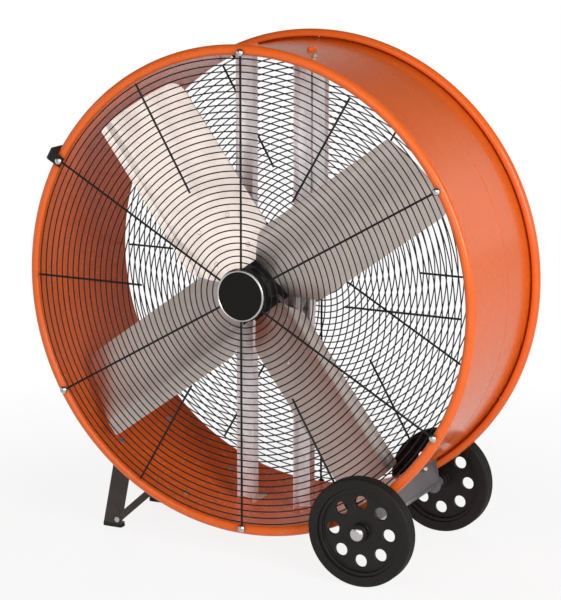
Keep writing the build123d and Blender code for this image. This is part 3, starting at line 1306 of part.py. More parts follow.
FOOT_HEAD_SEAT = WALL_FIT_RADIUS - STRUT_FOOT_SHEET - NUT_CLEARANCE
WALL_HEAD_SEAT = DRUM_INNER_RADIUS - NUT_CLEARANCE
FOOT_GRIP = DRUM_OUTER_RADIUS - FOOT_HEAD_SEAT + NUT_CLEARANCE
BRACKET_GRIP = DRUM_OUTER_RADIUS + SEAT_GAP + BRACKET_SHEET - WALL_HEAD_SEAT + NUT_CLEARANCE
LEG_GRIP = LEG_TAB_RADIUS - WALL_HEAD_SEAT + NUT_CLEARANCE
BOX_GRIP = BOX_SEAT_RADIUS + BOX_WALL - WALL_HEAD_SEAT
WEB_FACE_Y = WEB_BACK_Y - STRUT_SHEET
PLATE_SEATS = [facing(WEB_FACE_Y).shift_origin(Vector(x, WEB_FACE_Y, AXIS_HEIGHT + z))
               for x in (-STRUT_X, STRUT_X) for z in (-PLATE_BOLT_Z, PLATE_BOLT_Z)]
MOTOR_SEATS = [facing(WEB_BACK_Y).shift_origin(Vector(x, WEB_BACK_Y, AXIS_HEIGHT + z))
               for x, z in MOTOR_BOLT_SPOTS]
BRACE_SEATS = [facing(face - LEG_SHEET).shift_origin(Vector(BRACE_FOOT_X, face - LEG_SHEET, BRACE_FOOT_Z))
               for face in LEG_FACE_Y]

os.makedirs("parts", exist_ok=True)

save("drum_barrel", drum_barrel())
save("guard_front", guard(-1, RING_FIRST_RADIUS, RING_COUNT, LONG_SPOKE_START))
save("guard_rear", guard(1, REAR_RING_FIRST_RADIUS, REAR_RING_COUNT, REAR_SPOKE_START))
save("guard_screws_front", guard_screws(-1))
save("guard_screws_rear", guard_screws(1))
save("badge_disc", badge_disc())
save("badge_bezel", badge_bezel())
save("badge_backing", badge_backing())
save("strut_left", strut(-1))
save("strut_right", strut(1))
save("strut_bolts", wall_bolts(STRUT_BOLT_SPOTS, FOOT_HEAD_SEAT, FOOT_GRIP))
save("motor_plate", motor_plate())
save("motor_plate_bolts", bolts(PLATE_SEATS, STRUT_SHEET + PLATE_THICKNESS))
save("motor_front_bell", front_bell())
save("motor_shell", ring(SHELL_START_Y, SHELL_END_Y, MOTOR_RADIUS - MOTOR_SHELL, MOTOR_RADIUS))
save("motor_rear_bell", rear_bell())
save("motor_bolts", bolts(MOTOR_SEATS, PLATE_THICKNESS + MOTOR_BELL_WALL))
save("motor_bearings", bearings())
save("motor_stator", ring(MOTOR_MIDDLE_Y - STATOR_LENGTH / 2, MOTOR_MIDDLE_Y + STATOR_LENGTH / 2,
                          STATOR_INNER_RADIUS, MOTOR_RADIUS - MOTOR_SHELL - NUT_CLEARANCE))
save("terminal_box", terminal_box())
save("wiring_cover", wiring_cover())
save("wiring_cover_bolt", wall_bolts([(COVER_BOLT_ANGLE, COVER_BOLT_Y)], FOOT_HEAD_SEAT, FOOT_GRIP))
save("motor_lead", motor_lead())
save("lead_clips", lead_clips())
save("lead_grommets", lead_grommets())
save("motor_shaft", motor_shaft())
save("motor_rotor_core", ring(MOTOR_MIDDLE_Y - STATOR_LENGTH / 2, MOTOR_MIDDLE_Y + STATOR_LENGTH / 2,
                              SHAFT_RADIUS + BORE_FIT, STATOR_INNER_RADIUS - AIR_GAP))
save("hub_spider", hub_spider())
save("hub_bolt", hub_bolt())
for number, blade_angle in enumerate(BLADE_ANGLES, start=1):
    save(f"blade_{number}", blade(blade_angle))
save("blade_rivets", blade_rivets())
save("axle_bracket", axle_bracket())
save("axle_bracket_bolts", wall_bolts(BRACKET_BOLT_SPOTS, WALL_HEAD_SEAT, BRACKET_GRIP))
save("axle", axle())
save("wheel_spacers", wheel_spacers())
save("hub_caps", hub_caps())
for name, end in (("front", -1), ("rear", 1)):
    save(f"wheel_{name}", wheel(end))
    save(f"tyre_{name}", tyre(end))
for name, face_y in zip(("front", "rear"), LEG_FACE_Y):
    save(f"leg_post_{name}", leg_post(face_y))
    save(f"leg_brace_{name}", leg_brace(face_y))
save("leg_bolts", wall_bolts(LEG_BOLT_SPOTS, WALL_HEAD_SEAT, LEG_GRIP))
save("leg_foot_bolts", bolts(BRACE_SEATS, 2 * LEG_SHEET))
save("foot_pads", foot_pads())
save("handle_strap", handle_strap())
save("handle_grip", handle_grip())
save("control_box", control_box())
save("control_box_cover", control_box_cover())
save("control_box_screws", box_screws())
save("control_box_bolts", wall_bolts(BOX_BOLT_SPOTS, WALL_HEAD_SEAT, BOX_GRIP))
save("speed_switch", speed_switch())
save("speed_knob", speed_knob())
save("cord_gland", cord_gland())
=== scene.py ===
import json
from math import cos, pi, radians, sin

import bmesh
import bpy
from bpy.props import FloatProperty, FloatVectorProperty, IntProperty, PointerProperty
from mathutils import Matrix, Vector


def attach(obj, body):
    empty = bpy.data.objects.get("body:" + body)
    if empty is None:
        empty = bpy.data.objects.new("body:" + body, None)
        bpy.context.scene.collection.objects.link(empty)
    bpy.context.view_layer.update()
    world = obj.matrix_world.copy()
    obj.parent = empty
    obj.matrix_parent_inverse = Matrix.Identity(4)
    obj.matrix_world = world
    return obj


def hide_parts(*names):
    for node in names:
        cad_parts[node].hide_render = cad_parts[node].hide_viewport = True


bl_info = {
    "name": "Drum fan",
    "version": (1, 0, 0),
    "blender": (4, 5, 0),
    "location": "View3D > Sidebar > Drum fan",
    "description": "Dresses the drum fan's solids with shaped pieces and finishes, and sets up its studio",
    "category": "Object",
}

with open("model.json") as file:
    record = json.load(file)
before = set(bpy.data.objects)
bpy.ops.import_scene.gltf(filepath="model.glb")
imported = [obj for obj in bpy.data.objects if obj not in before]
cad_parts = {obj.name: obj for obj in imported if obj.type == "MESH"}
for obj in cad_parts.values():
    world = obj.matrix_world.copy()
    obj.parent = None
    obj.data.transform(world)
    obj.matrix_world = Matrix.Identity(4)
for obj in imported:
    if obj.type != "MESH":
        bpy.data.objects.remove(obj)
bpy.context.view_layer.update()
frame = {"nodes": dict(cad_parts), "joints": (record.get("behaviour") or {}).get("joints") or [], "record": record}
JOINTS = {joint["name"]: joint for joint in frame["joints"]}
AXIS = Vector((0.0, 0.0, JOINTS["blade_spin"]["pos_m"][2]))
BODY_OF = {node: body for body, nodes in frame["record"]["behaviour"]["bodies"].items() for node in nodes}
SLOT_OF = {row["node"]: row["material_slot"] for row in frame["record"]["subparts"]}
MM = 0.001
# Points of a made mesh, and of a copied solid, that are merged when they lie nearer than this.
WELD = 0.01 * MM
COPY_WELD = 0.002 * MM
# Faces of a copied solid that meet at less than this many degrees become one.
FLAT = 0.4

# Angles are in degrees, seen from the front, anticlockwise from the right.
FIRST_BLADE = 36.0
BLADES = 4
FIRST_LONG_SPOKE = 30.0
LONG_SPOKES = 6
# The long spoke whose screw also holds an end of the handle's strap, counted from 0.
HANDLE_SPOKE = 2


# ---- node trees ----
def find(sockets, key):
    """A socket by place, identifier or name."""
    if isinstance(key, int):
        return sockets[key]
    for socket in sockets:
        if socket.identifier == key:
            return socket
    return next(socket for socket in sockets if socket.name == key)


class Wire:
    """An output socket. Arithmetic on it adds Math nodes to its tree."""

    def __init__(self, nodes, socket):
        self.nodes = nodes
        self.socket = socket

    def out(self, key):
        return Wire(self.nodes, find(self.socket.node.outputs, key))

    def math(self, operation, *values):
        return self.nodes.add("ShaderNodeMath", {"operation": operation}, dict(enumerate(values)))

    def __add__(self, other):
        return self.math("ADD", self, other)

    def __radd__(self, other):
        return self.math("ADD", other, self)

    def __sub__(self, other):
        return self.math("SUBTRACT", self, other)

    def __rsub__(self, other):
        return self.math("SUBTRACT", other, self)

    def __mul__(self, other):
        return self.math("MULTIPLY", self, other)

    def __rmul__(self, other):
        return self.math("MULTIPLY", other, self)


class Nodes:
    """A node tree, and the one method that adds nodes to it."""

    def __init__(self, tree):
        self.tree = tree

    def add(self, kind, settings=None, sockets=None, out=0):
        """Adds a node: its settings first, then its sockets' values or links. Gives back one output."""
        node = self.tree.nodes.new(kind)
        for name, value in (settings or {}).items():
            if name == "stops":
                ramp = node.color_ramp.elements
                while len(ramp) < len(value):
                    ramp.new(1.0)
                for element, (place, colour) in zip(ramp, value):
                    element.position = place
                    element.color = colour
            else:
                setattr(node, name, value)
        for key, value in (sockets or {}).items():
            for one in value if isinstance(value, list) else [value]:
                socket = find(node.inputs, key)
                if isinstance(one, Wire):
                    self.tree.links.new(one.socket, socket)
                else:
                    socket.default_value = one
        return Wire(self, find(node.outputs, out)) if node.outputs else None

    def steps(self, factor, low, high):
        """0 below low and 1 above high, with an even rise between."""
        values = {"Value": factor, "From Min": low, "From Max": high}
        return self.add("ShaderNodeMapRange", {"clamp": True}, values)


class Finish(Nodes):
    """A material under construction."""

    def __init__(self, name):
        self.material = bpy.data.materials.new(name)
        self.material.use_nodes = True
        super().__init__(self.material.node_tree)
        self.tree.nodes.clear()

    def place(self, source="Object", scale=(1.0, 1.0, 1.0)):
        at = self.add("ShaderNodeTexCoord", out=source)
        return self.add("ShaderNodeMapping", None, {"Vector": at, "Scale": scale})

    def noise(self, at, scale, detail=2.0, roughness=0.5):
        values = {"Vector": at, "Scale": scale, "Detail": detail, "Roughness": roughness}
        return self.add("ShaderNodeTexNoise", None, values, "Fac")

    def mix(self, factor, first, second):
        values = {"Factor_Float": factor, "A_Color": first, "B_Color": second}
        return self.add("ShaderNodeMix", {"data_type": "RGBA"}, values, "Result_Color")

    def bump(self, height, depth, under=None):
        values = {"Height": height, "Distance": depth, "Strength": 1.0}
        if under:
            values["Normal"] = under
        return self.add("ShaderNodeBump", None, values)

    def surface(self, **values):
        names = {key.replace("_", " "): value for key, value in values.items()}
        shader = self.add("ShaderNodeBsdfPrincipled", None, names)
        self.add("ShaderNodeOutputMaterial", None, {"Surface": shader})
        return self.material


def rgba(colour, factor=1.0):
    """A colour as four numbers, made lighter or darker by a factor."""
    return tuple(min(1.0, part * factor) for part in colour[:3]) + (1.0,)


# ---- finishes ----
DUST = (0.36, 0.33, 0.3, 1.0)
WHITE = (1.0, 1.0, 1.0, 1.0)


def colours():
    return bpy.context.scene.drum_fan_colours


def coated(name, colour, rough, metallic=0.0, shine=0.3, grain=300.0, depth=0.00005, vary=0.12, dust=0.0):
    """Paint, plastic or plating: a clouded colour, uneven gloss, a fine grain and a little dust."""
    make = Finish(name)
    at = make.place()
    cloud = make.noise(at, 7.0, 4.0, 0.6)
    streak = make.noise(at, 38.0, 3.0, 0.65)
    tone = make.mix(cloud, rgba(colour, 1.0 - vary), rgba(colour, 1.0 + vary))
    if dust:
        tone = make.mix(make.steps(streak, 0.5, 0.85) * dust, tone, DUST)
    gloss = rough + (streak - 0.5) * (0.35 * rough) + (cloud - 0.5) * (0.25 * rough)
    relief = make.bump(make.noise(at, grain, 2.0), depth)
    return make.surface(Base_Color=tone, Roughness=gloss, Metallic=metallic, Specular_IOR_Level=shine,
                        Normal=relief)


def gloss_orange(name, colour):
    """Baked gloss enamel: orange peel, a clouded depth of colour and a little road dust low down."""
    make = Finish(name)
    at = make.place()
    cloud = make.noise(at, 3.0, 3.0)
    tone = make.mix(cloud, rgba(colour, 0.92), rgba(colour, 1.06))
    height = make.add("ShaderNodeSeparateXYZ", None, {"Vector": at}, "Z")
    low = 1.0 - make.steps(height, 0.08, 0.3)
    dust = make.steps(make.noise(at, 55.0, 5.0, 0.7), 0.55, 0.75)
    tone = make.mix(dust * low * 0.3, tone, DUST)
    peel = make.noise(at, 260.0, 1.0)
    wave = make.noise(at, 9.0, 2.0)
    relief = make.bump(peel, 0.00001, make.bump(wave, 0.0004))
    gloss = 0.27 + (cloud - 0.5) * 0.08 + dust * 0.1
    across = make.add("ShaderNodeMapping", None, {"Vector": at, "Location": -AXIS, "Scale": (1.0, 0.0, 1.0)})
    radius = make.add("ShaderNodeVectorMath", {"operation": "LENGTH"}, {0: across}, "Value")
    wall = bpy.context.scene.drum_fan_drum.inner_radius
    outside = make.steps(radius, wall + 0.4 * MM, wall + 1.2 * MM)
    return make.surface(Base_Color=tone, Roughness=gloss, Specular_IOR_Level=0.15,
                        Coat_Weight=0.1 + outside * 0.3, Coat_Roughness=0.16, Normal=relief)


def brushed(name, colour, rough, source="UV", scale=(1.0, 14.0, 1.0), metallic=1.0):
    """Rolled or brushed metal, its lines along the piece's own length."""
    make = Finish(name)
    lines = make.noise(make.place(source, scale), 45.0, 4.0, 0.7)
    at = make.place()
    smear = make.noise(at, 11.0, 4.0, 0.65)
    tone = make.mix(lines, rgba(colour, 0.84), rgba(colour, 1.16))
    tone = make.mix(make.steps(smear, 0.5, 0.8) * 0.35, tone, rgba(colour, 0.62))
    gloss = rough + (lines - 0.5) * 0.16 + (smear - 0.5) * 0.2
    relief = make.bump(lines, 0.00006)
    return make.surface(Base_Color=tone, Roughness=gloss, Metallic=metallic, Normal=relief)


def spangled(name, colour, rough):
    """Zinc-coated sheet: faint crystal patches under a pale bloom."""
    make = Finish(name)
    at = make.place()
    values = {"Vector": at, "Scale": 70.0, "Randomness": 1.0}
    crystals = make.add("ShaderNodeTexVoronoi", {"feature": "F1"}, values, "Color")
    facet = make.add("ShaderNodeSeparateColor", None, {"Color": crystals}, "Red")
    bloom = make.noise(at, 14.0, 4.0, 0.6)
    tone = make.mix(facet, rgba(colour, 0.88), rgba(colour, 1.08))
    tone = make.mix(make.steps(bloom, 0.45, 0.8) * 0.3, tone, rgba(colour, 0.8))
    gloss = rough + (facet - 0.5) * 0.14 + (bloom - 0.5) * 0.1
    relief = make.bump(make.noise(at, 180.0, 2.0), 0.00005)
    return make.surface(Base_Color=tone, Roughness=gloss, Metallic=0.6, Normal=relief)


def worn_rubber(name, colour, rough):
    """Moulded rubber: a fine skin, a grey bloom and dust in its pores."""
    make = Finish(name)
    at = make.place()
    bloom = make.noise(at, 16.0, 5.0, 0.65)
    pores = make.noise(at, 520.0, 3.0, 0.6)
    tone = make.mix(make.steps(bloom, 0.35, 0.75), rgba(colour, 0.8), rgba(colour, 1.5))
    tone = make.mix(make.steps(pores, 0.58, 0.75) * 0.1, tone, DUST)
    relief = make.bump(pores, 0.0001, make.bump(bloom, 0.0003))
    gloss = rough + (bloom - 0.5) * 0.2
    return make.surface(Base_Color=tone, Roughness=gloss, Specular_IOR_Level=0.25, Normal=relief)


def floor_finish(colour):
    """Matt floor that fades to the backdrop's white and keeps the shadow."""
    make = Finish("floor")
    at = make.place()
    tone = make.mix(make.noise(at, 60.0, 2.0), rgba(colour, 0.985), rgba(colour, 1.01))
    matt = make.add("ShaderNodeBsdfDiffuse", None, {"Color": tone})
    glow = make.add("ShaderNodeEmission", None, {"Color": WHITE, "Strength": 1.0})
    far = make.steps(make.add("ShaderNodeVectorMath", {"operation": "LENGTH"}, {0: at}, "Value"), 0.7, 1.7)
    path = make.add("ShaderNodeLightPath", None, None, "Is Camera Ray")
    seen = path * (0.86 + far * 0.14) + path.out("Is Glossy Ray") * 0.6
    both = make.add("ShaderNodeMixShader", None, {0: seen, 1: matt, 2: glow})
    make.add("ShaderNodeOutputMaterial", None, {"Surface": both})
    return make.material


FINISHES = {
    "orange_paint": lambda name: gloss_orange(name, colours().drum),
    "guard_wire": lambda name: coated(name, colours().wire, 0.42, shine=0.15, grain=900.0, depth=0.00003),
    "chrome": lambda name: coated(name, (0.56, 0.54, 0.53), 0.26, metallic=1.0, depth=0.000006, vary=0.04),
    "badge_black": lambda name: coated(name, (0.008, 0.006, 0.006), 0.25, shine=0.12, depth=0.000006),
    "strut_grey": lambda name: spangled(name, colours().struts, 0.45),
    "zinc": lambda name: coated(name, (0.5, 0.49, 0.47), 0.34, metallic=0.8, depth=0.00002, dust=0.15),
    "bare_steel": lambda name: brushed(name, (0.5, 0.5, 0.51), 0.3, "Object", (1.0, 20.0, 1.0)),
    "motor_paint": lambda name: coated(name, (0.016, 0.016, 0.018), 0.46, shine=0.25, grain=420.0, dust=0.08),
    "core_iron": lambda name: brushed(name, (0.2, 0.2, 0.21), 0.5, "Object", (1.0, 30.0, 1.0), 0.8),
    "lead_black": lambda name: coated(name, (0.012, 0.012, 0.012), 0.5, grain=700.0, dust=0.06),
    "pad_rubber": lambda name: worn_rubber(name, (0.02, 0.02, 0.02), 0.75),
    "bracket_grey": lambda name: coated(name, (0.17, 0.17, 0.18), 0.4, metallic=0.3, dust=0.15),
    "leg_paint": lambda name: coated(name, (0.046, 0.036, 0.034), 0.42, depth=0.00004, dust=0.06),
    "handle_black": lambda name: coated(name, (0.012, 0.012, 0.013), 0.4, shine=0.2, dust=0.04),
    "handle_rubber": lambda name: worn_rubber(name, (0.01, 0.01, 0.01), 0.66),
    "box_black": lambda name: coated(name, (0.014, 0.014, 0.015), 0.5, grain=650.0, depth=0.00012),
    "hub_black": lambda name: coated(name, (0.014, 0.013, 0.014), 0.42, dust=0.05),
    "blade_aluminium": lambda name: brushed(name, colours().blades, 0.36),
    "wheel_black": lambda name: coated(name, (0.01, 0.008, 0.0075), 0.4, shine=0.25, grain=240.0,
                                       depth=0.00006, dust=0.02),
    "tyre_rubber": lambda name: worn_rubber(name, (0.0085, 0.0065, 0.006), 0.62),
    "knob_grey": lambda name: coated(name, (0.12, 0.12, 0.125), 0.42, grain=500.0),
}
made = {}


def finish(slot):
    """The material of a slot of the record, made once."""
    if slot not in made:
        made[slot] = FINISHES[slot](slot)
    return made[slot]


# ---- pieces ----
def merged(bm, name, recalculate=True):
    """A mesh from an edit mesh: its doubles merged and its faces turned outwards."""
    bmesh.ops.remove_doubles(bm, verts=bm.verts, dist=WELD)
    if recalculate:
        bmesh.ops.recalc_face_normals(bm, faces=bm.faces)
    mesh = bpy.data.meshes.new(name)
    bm.to_mesh(mesh)
    bm.free()
    return mesh


def show(name, mesh, node, slot=None, sharp=32.0):
    """A finished piece that stands for its node, with the node's own finish unless another is given."""
    thing = bpy.data.objects.new(name, mesh)
    bpy.context.scene.collection.objects.link(thing)
    slot = slot or SLOT_OF[node]
    mesh.shade_smooth()
    mesh.set_sharp_from_angle(angle=radians(sharp))
    mesh.materials.clear()
    mesh.materials.append(finish(slot))
    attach(thing, BODY_OF[node])
    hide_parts(node)
    return thing


def dressed(node, soften=0.5, segments=2, sharp=32.0, slot=None):
    """A node's merged copy with softened edges."""
    bm = bmesh.new()
    bm.from_mesh(frame["nodes"][node].data)
    bmesh.ops.remove_doubles(bm, verts=bm.verts, dist=COPY_WELD)
    bmesh.ops.dissolve_limit(bm, angle_limit=radians(FLAT), verts=bm.verts, edges=bm.edges)
    thing = show(f"{node}_dressed", merged(bm, node, False), node, slot, sharp)
    if soften:
        edges = thing.modifiers.new("soft edges", "BEVEL")
        edges.width = soften * MM
        edges.segments = segments
        edges.limit_method = "ANGLE"
        edges.angle_limit = radians(sharp)
        edges.harden_normals = True
    return thing


def lathe(outline, centre, steps, name):
    """A solid turned about an axis along Y through centre; outline is a closed run of (y, radius)."""
    bm = bmesh.new()
    loops = []
    for k in range(steps):
        turn = 2 * pi * k / steps
        around = Vector((cos(turn), 0.0, sin(turn)))
        loops.append([bm.verts.new(centre + around * r + Vector((0.0, y, 0.0))) for y, r in outline])
    for k, loop in enumerate(loops):
        after = loops[(k + 1) % steps]
        for i in range(len(outline)):
            j = (i + 1) % len(outline)
            bm.faces.new([loop[i], loop[j], after[j], after[i]])
    bmesh.ops.remove_doubles(bm, verts=bm.verts, dist=WELD)
    bmesh.ops.dissolve_degenerate(bm, edges=bm.edges, dist=WELD)
    return merged(bm, name)


def arc(centre, radius, start, end, steps):
    """Points on an arc, its angles in degrees."""
    turns = [radians(start + (end - start) * k / steps) for k in range(steps + 1)]
    return [(centre[0] + radius * cos(t), centre[1] + radius * sin(t)) for t in turns]


def straight(start, end, radius, steps=8):
    """Points on a straight run of an outline."""
    return [(start + (end - start) * k / steps, radius) for k in range(steps + 1)]


def cross_slot(reach, width, depth, height):
    """Cutter for a cross-shaped driver slot in the top of a head of this height."""
    bm = bmesh.new()
    for long, short in ((reach, width), (width, reach)):
        place = Matrix.Translation((0.0, 0.0, height)) @ Matrix.Diagonal((long, short, 2 * depth, 1.0))
        bmesh.ops.create_cube(bm, size=1.0, matrix=place)
    mesh = bpy.data.meshes.new("cross")
    bm.to_mesh(mesh)
    bm.free()
    return mesh


def carved(mesh, cutter):
    """The mesh with the cutter taken out of it."""
    body = bpy.data.objects.new("carved", mesh)
    tool = bpy.data.objects.new("cutter", cutter)
    for thing in (body, tool):
        bpy.context.scene.collection.objects.link(thing)
    cut = body.modifiers.new("cut", "BOOLEAN")
    cut.object = tool
    cut.operation = "DIFFERENCE"
    cut.solver = "EXACT"
    cut.use_self = True
    result = bpy.data.meshes.new_from_object(body.evaluated_get(bpy.context.evaluated_depsgraph_get()))
    for thing in (body, tool):
        bpy.data.objects.remove(thing)
    return result


# ---- geometry node trees ----
SOCKET_TYPES = {
    "float": "NodeSocketFloat", "int": "NodeSocketInt", "vector": "NodeSocketVector",
    "material": "NodeSocketMaterial", "object": "NodeSocketObject", "geometry": "NodeSocketGeometry",
}


class Shaper(Nodes):
    """A geometry node tree with named inputs."""

    def __init__(self, name, **inputs):
        super().__init__(bpy.data.node_groups.new(name, "GeometryNodeTree"))
        self.keys = {}
        for title, kind in inputs.items():
            socket = self.tree.interface.new_socket(title, in_out="INPUT", socket_type=SOCKET_TYPES[kind])
            self.keys[title] = socket.identifier
        self.tree.interface.new_socket("Geometry", in_out="OUTPUT", socket_type=SOCKET_TYPES["geometry"])
        self.given = self.add("NodeGroupInput")

    def input(self, title):
        return self.given.out(title)

    def finish(self, geometry, material):
        """Ends the tree: real geometry with its material."""
        real = self.add("GeometryNodeRealizeInstances", None, {"Geometry": geometry})
        painted = self.add("GeometryNodeSetMaterial", None, {"Geometry": real, "Material": material})
        self.add("NodeGroupOutput", None, {"Geometry": painted})

    def run(self, mesh, name, **values):
        """Runs the tree on a mesh and gives back the result as a plain mesh."""
        holder = bpy.data.objects.new(name, mesh)
        bpy.context.scene.collection.objects.link(holder)
        modifier = holder.modifiers.new(name, "NODES")
        modifier.node_group = self.tree
        for title, value in values.items():
            modifier[self.keys[title]] = value
        graph = bpy.context.evaluated_depsgraph_get()
        result = bpy.data.meshes.new_from_object(holder.evaluated_get(graph))
        holder.modifiers.clear()
        bpy.data.objects.remove(holder)
        result.name = name
        return result


def guard_shaper():
    """Tree for a wire guard: rings behind long eyed spokes and short spokes between them."""
    shape = Shaper(
        "wire guard", Rings="int", First="float", Pitch="float", Ring_Depth="float", Wire="float",
        Spokes="int", Spoke_Wire="float", Long_Start="float", Short_Start="float", Last="float",
        Screw_Circle="float", Eye="float", Depth="float", Face="vector", Centre="vector", Finish="material",
    )
    index = shape.add("GeometryNodeInputIndex")
    spots = shape.add("GeometryNodePoints", None, {"Count": shape.input("Rings")})
    circle = shape.add("GeometryNodeCurvePrimitiveCircle", None, {"Resolution": 192, "Radius": 1.0})
    radius = shape.input("First") + index * shape.input("Pitch")
    values = {"Points": spots, "Instance": circle, "Scale": radius}
    rings = shape.add("GeometryNodeInstanceOnPoints", None, values)
    rings = shape.add("GeometryNodeRealizeInstances", None, {"Geometry": rings})
    lift = shape.add("ShaderNodeCombineXYZ", None, {"Z": shape.input("Ring_Depth")})
    rings = shape.add("GeometryNodeSetPosition", None, {"Geometry": rings, "Offset": lift})
    profile = {"Resolution": 8, "Radius": shape.input("Wire")}
    section = shape.add("GeometryNodeCurvePrimitiveCircle", None, profile)
    rings = shape.add("GeometryNodeCurveToMesh", None, {"Curve": rings, "Profile Curve": section})

    def spokes(start, end, first, eyed):
        """One set of spokes, turned evenly about the centre, each with an eye at the screws if eyed."""
        ends = [shape.add("ShaderNodeCombineXYZ", None, {"X": x}) for x in (start, end)]
        rod = shape.add("GeometryNodeCurvePrimitiveLine", None, {"Start": ends[0], "End": ends[1]})
        if eyed:
            loop = {"Resolution": 24, "Radius": shape.input("Eye")}
            eye = shape.add("GeometryNodeCurvePrimitiveCircle", None, loop)
            out = shape.add("ShaderNodeCombineXYZ", None, {"X": shape.input("Screw_Circle")})
            eye = shape.add("GeometryNodeTransform", None, {"Geometry": eye, "Translation": out})
            rod = shape.add("GeometryNodeJoinGeometry", None, {"Geometry": [rod, eye]})
        spots = shape.add("GeometryNodePoints", None, {"Count": shape.input("Spokes")})
        step = shape.input("Spokes").math("DIVIDE", 2 * pi, shape.input("Spokes"))
        turn = shape.add("ShaderNodeCombineXYZ", None, {"Z": index * step + first})
        turn = shape.add("FunctionNodeEulerToRotation", None, {"Euler": turn})
        values = {"Points": spots, "Instance": rod, "Rotation": turn}
        rods = shape.add("GeometryNodeInstanceOnPoints", None, values)
        rods = shape.add("GeometryNodeRealizeInstances", None, {"Geometry": rods})
        lift = shape.add("ShaderNodeCombineXYZ", None, {"Z": shape.input("Depth")})
        rods = shape.add("GeometryNodeSetPosition", None, {"Geometry": rods, "Offset": lift})
        profile = {"Resolution": 12, "Radius": shape.input("Spoke_Wire")}
        section = shape.add("GeometryNodeCurvePrimitiveCircle", None, profile)
        values = {"Curve": rods, "Profile Curve": section, "Fill Caps": True}
        return shape.add("GeometryNodeCurveToMesh", None, values)

    reach = shape.input("Screw_Circle") - shape.input("Eye")
    long_set = spokes(shape.input("Long_Start"), reach, radians(FIRST_LONG_SPOKE), True)
    short_set = spokes(shape.input("Short_Start"), shape.input("Last"), 0.0, False)
    whole = shape.add("GeometryNodeJoinGeometry", None, {"Geometry": [rings, long_set, short_set]})
    face = shape.add("FunctionNodeEulerToRotation", None, {"Euler": shape.input("Face")})
    values = {"Geometry": whole, "Rotation": face, "Translation": shape.input("Centre")}
    whole = shape.add("GeometryNodeTransform", None, values)
    shape.finish(whole, shape.input("Finish"))
    return shape


def fastener_shaper():
    """Tree that sets one fastener on every seat; a seat's turn attribute says how it is turned."""
    shape = Shaper("fasteners", Seats="geometry", Fastener="object", Finish="material")
    turn = shape.add("GeometryNodeInputNamedAttribute", {"data_type": "FLOAT_VECTOR"}, {"Name": "turn"})
    turn = shape.add("FunctionNodeEulerToRotation", None, {"Euler": turn})
    one = shape.add("GeometryNodeObjectInfo", None, {"Object": shape.input("Fastener")}, "Geometry")
    values = {"Points": shape.input("Seats"), "Instance": one, "Rotation": turn}
    many = shape.add("GeometryNodeInstanceOnPoints", None, values)
    shape.finish(many, shape.input("Finish"))
    return shape


def fasteners(name, seats, mesh, slot):
    """A mesh of one fastener on each seat: its place, and the way its head faces."""
    plan = bpy.data.meshes.new(f"{name} seats")
    plan.from_pydata([place for place, out, spin in seats], [], [])
    turn = plan.attributes.new("turn", "FLOAT_VECTOR", "POINT")
    for k, (place, out, spin) in enumerate(seats):
        way = Vector(out).to_track_quat("Z", "Y").to_matrix() @ Matrix.Rotation(spin, 3, "Z")
        turn.data[k].vector = way.to_euler("XYZ")
    one = bpy.data.objects.new(f"{name} fastener", mesh)
    bpy.context.scene.collection.objects.link(one)
    result = shaper("fasteners").run(plan, name, Fastener=one, Finish=finish(slot))
    bpy.data.objects.remove(one)
    return result


SHAPERS = {"guard": guard_shaper, "fasteners": fastener_shaper}
trees = {}


def shaper(name):
    """A geometry node tree, made once."""
    if name not in trees:
        trees[name] = SHAPERS[name]()
    return trees[name]


# ---- settings a user would change ----
def size(name, description, millimetres):
    """A length setting; its default is written in millimetres."""
    return FloatProperty(name=name, description=description, default=millimetres * MM, min=0.0,
                         unit="LENGTH", precision=4)


def tint(name, description, colour):
    """A colour setting."""
    return FloatVectorProperty(name=name, description=description, default=colour, size=3, min=0.0,
                               max=1.0, subtype="COLOR")


class DrumFanColours(bpy.types.PropertyGroup):
    drum: tint("Drum", "Enamel of the drum", (0.8, 0.13, 0.014))
    wire: tint("Guard wire", "Coating of both guards", (0.012, 0.012, 0.013))
    struts: tint("Struts", "Zinc-coated sheet behind the rotor", (0.95, 0.9, 0.91))
    blades: tint("Blades", "Rolled aluminium", (0.68, 0.59, 0.54))
    floor: tint("Floor", "Studio floor and backdrop", (0.9, 0.9, 0.9))


class DrumFanDrum(bpy.types.PropertyGroup):
    inner_radius: size("Inner radius", "Inside of the rolled sheet", 547.4)
    sheet: size("Sheet", "Thickness of the sheet", 1.6)
    half_width: size("Half width", "From the drum's middle to the centre of each curled rim", 196.0)
    bead_radius: size("Rim radius", "Outside radius of the curl on each rim", 12.0)
    groove_at: size("Groove", "Depth behind the middle of the groove round the outside", 50.0)
    steps: IntProperty(name="Steps", description="Faces round the drum", default=288, min=48, max=512)


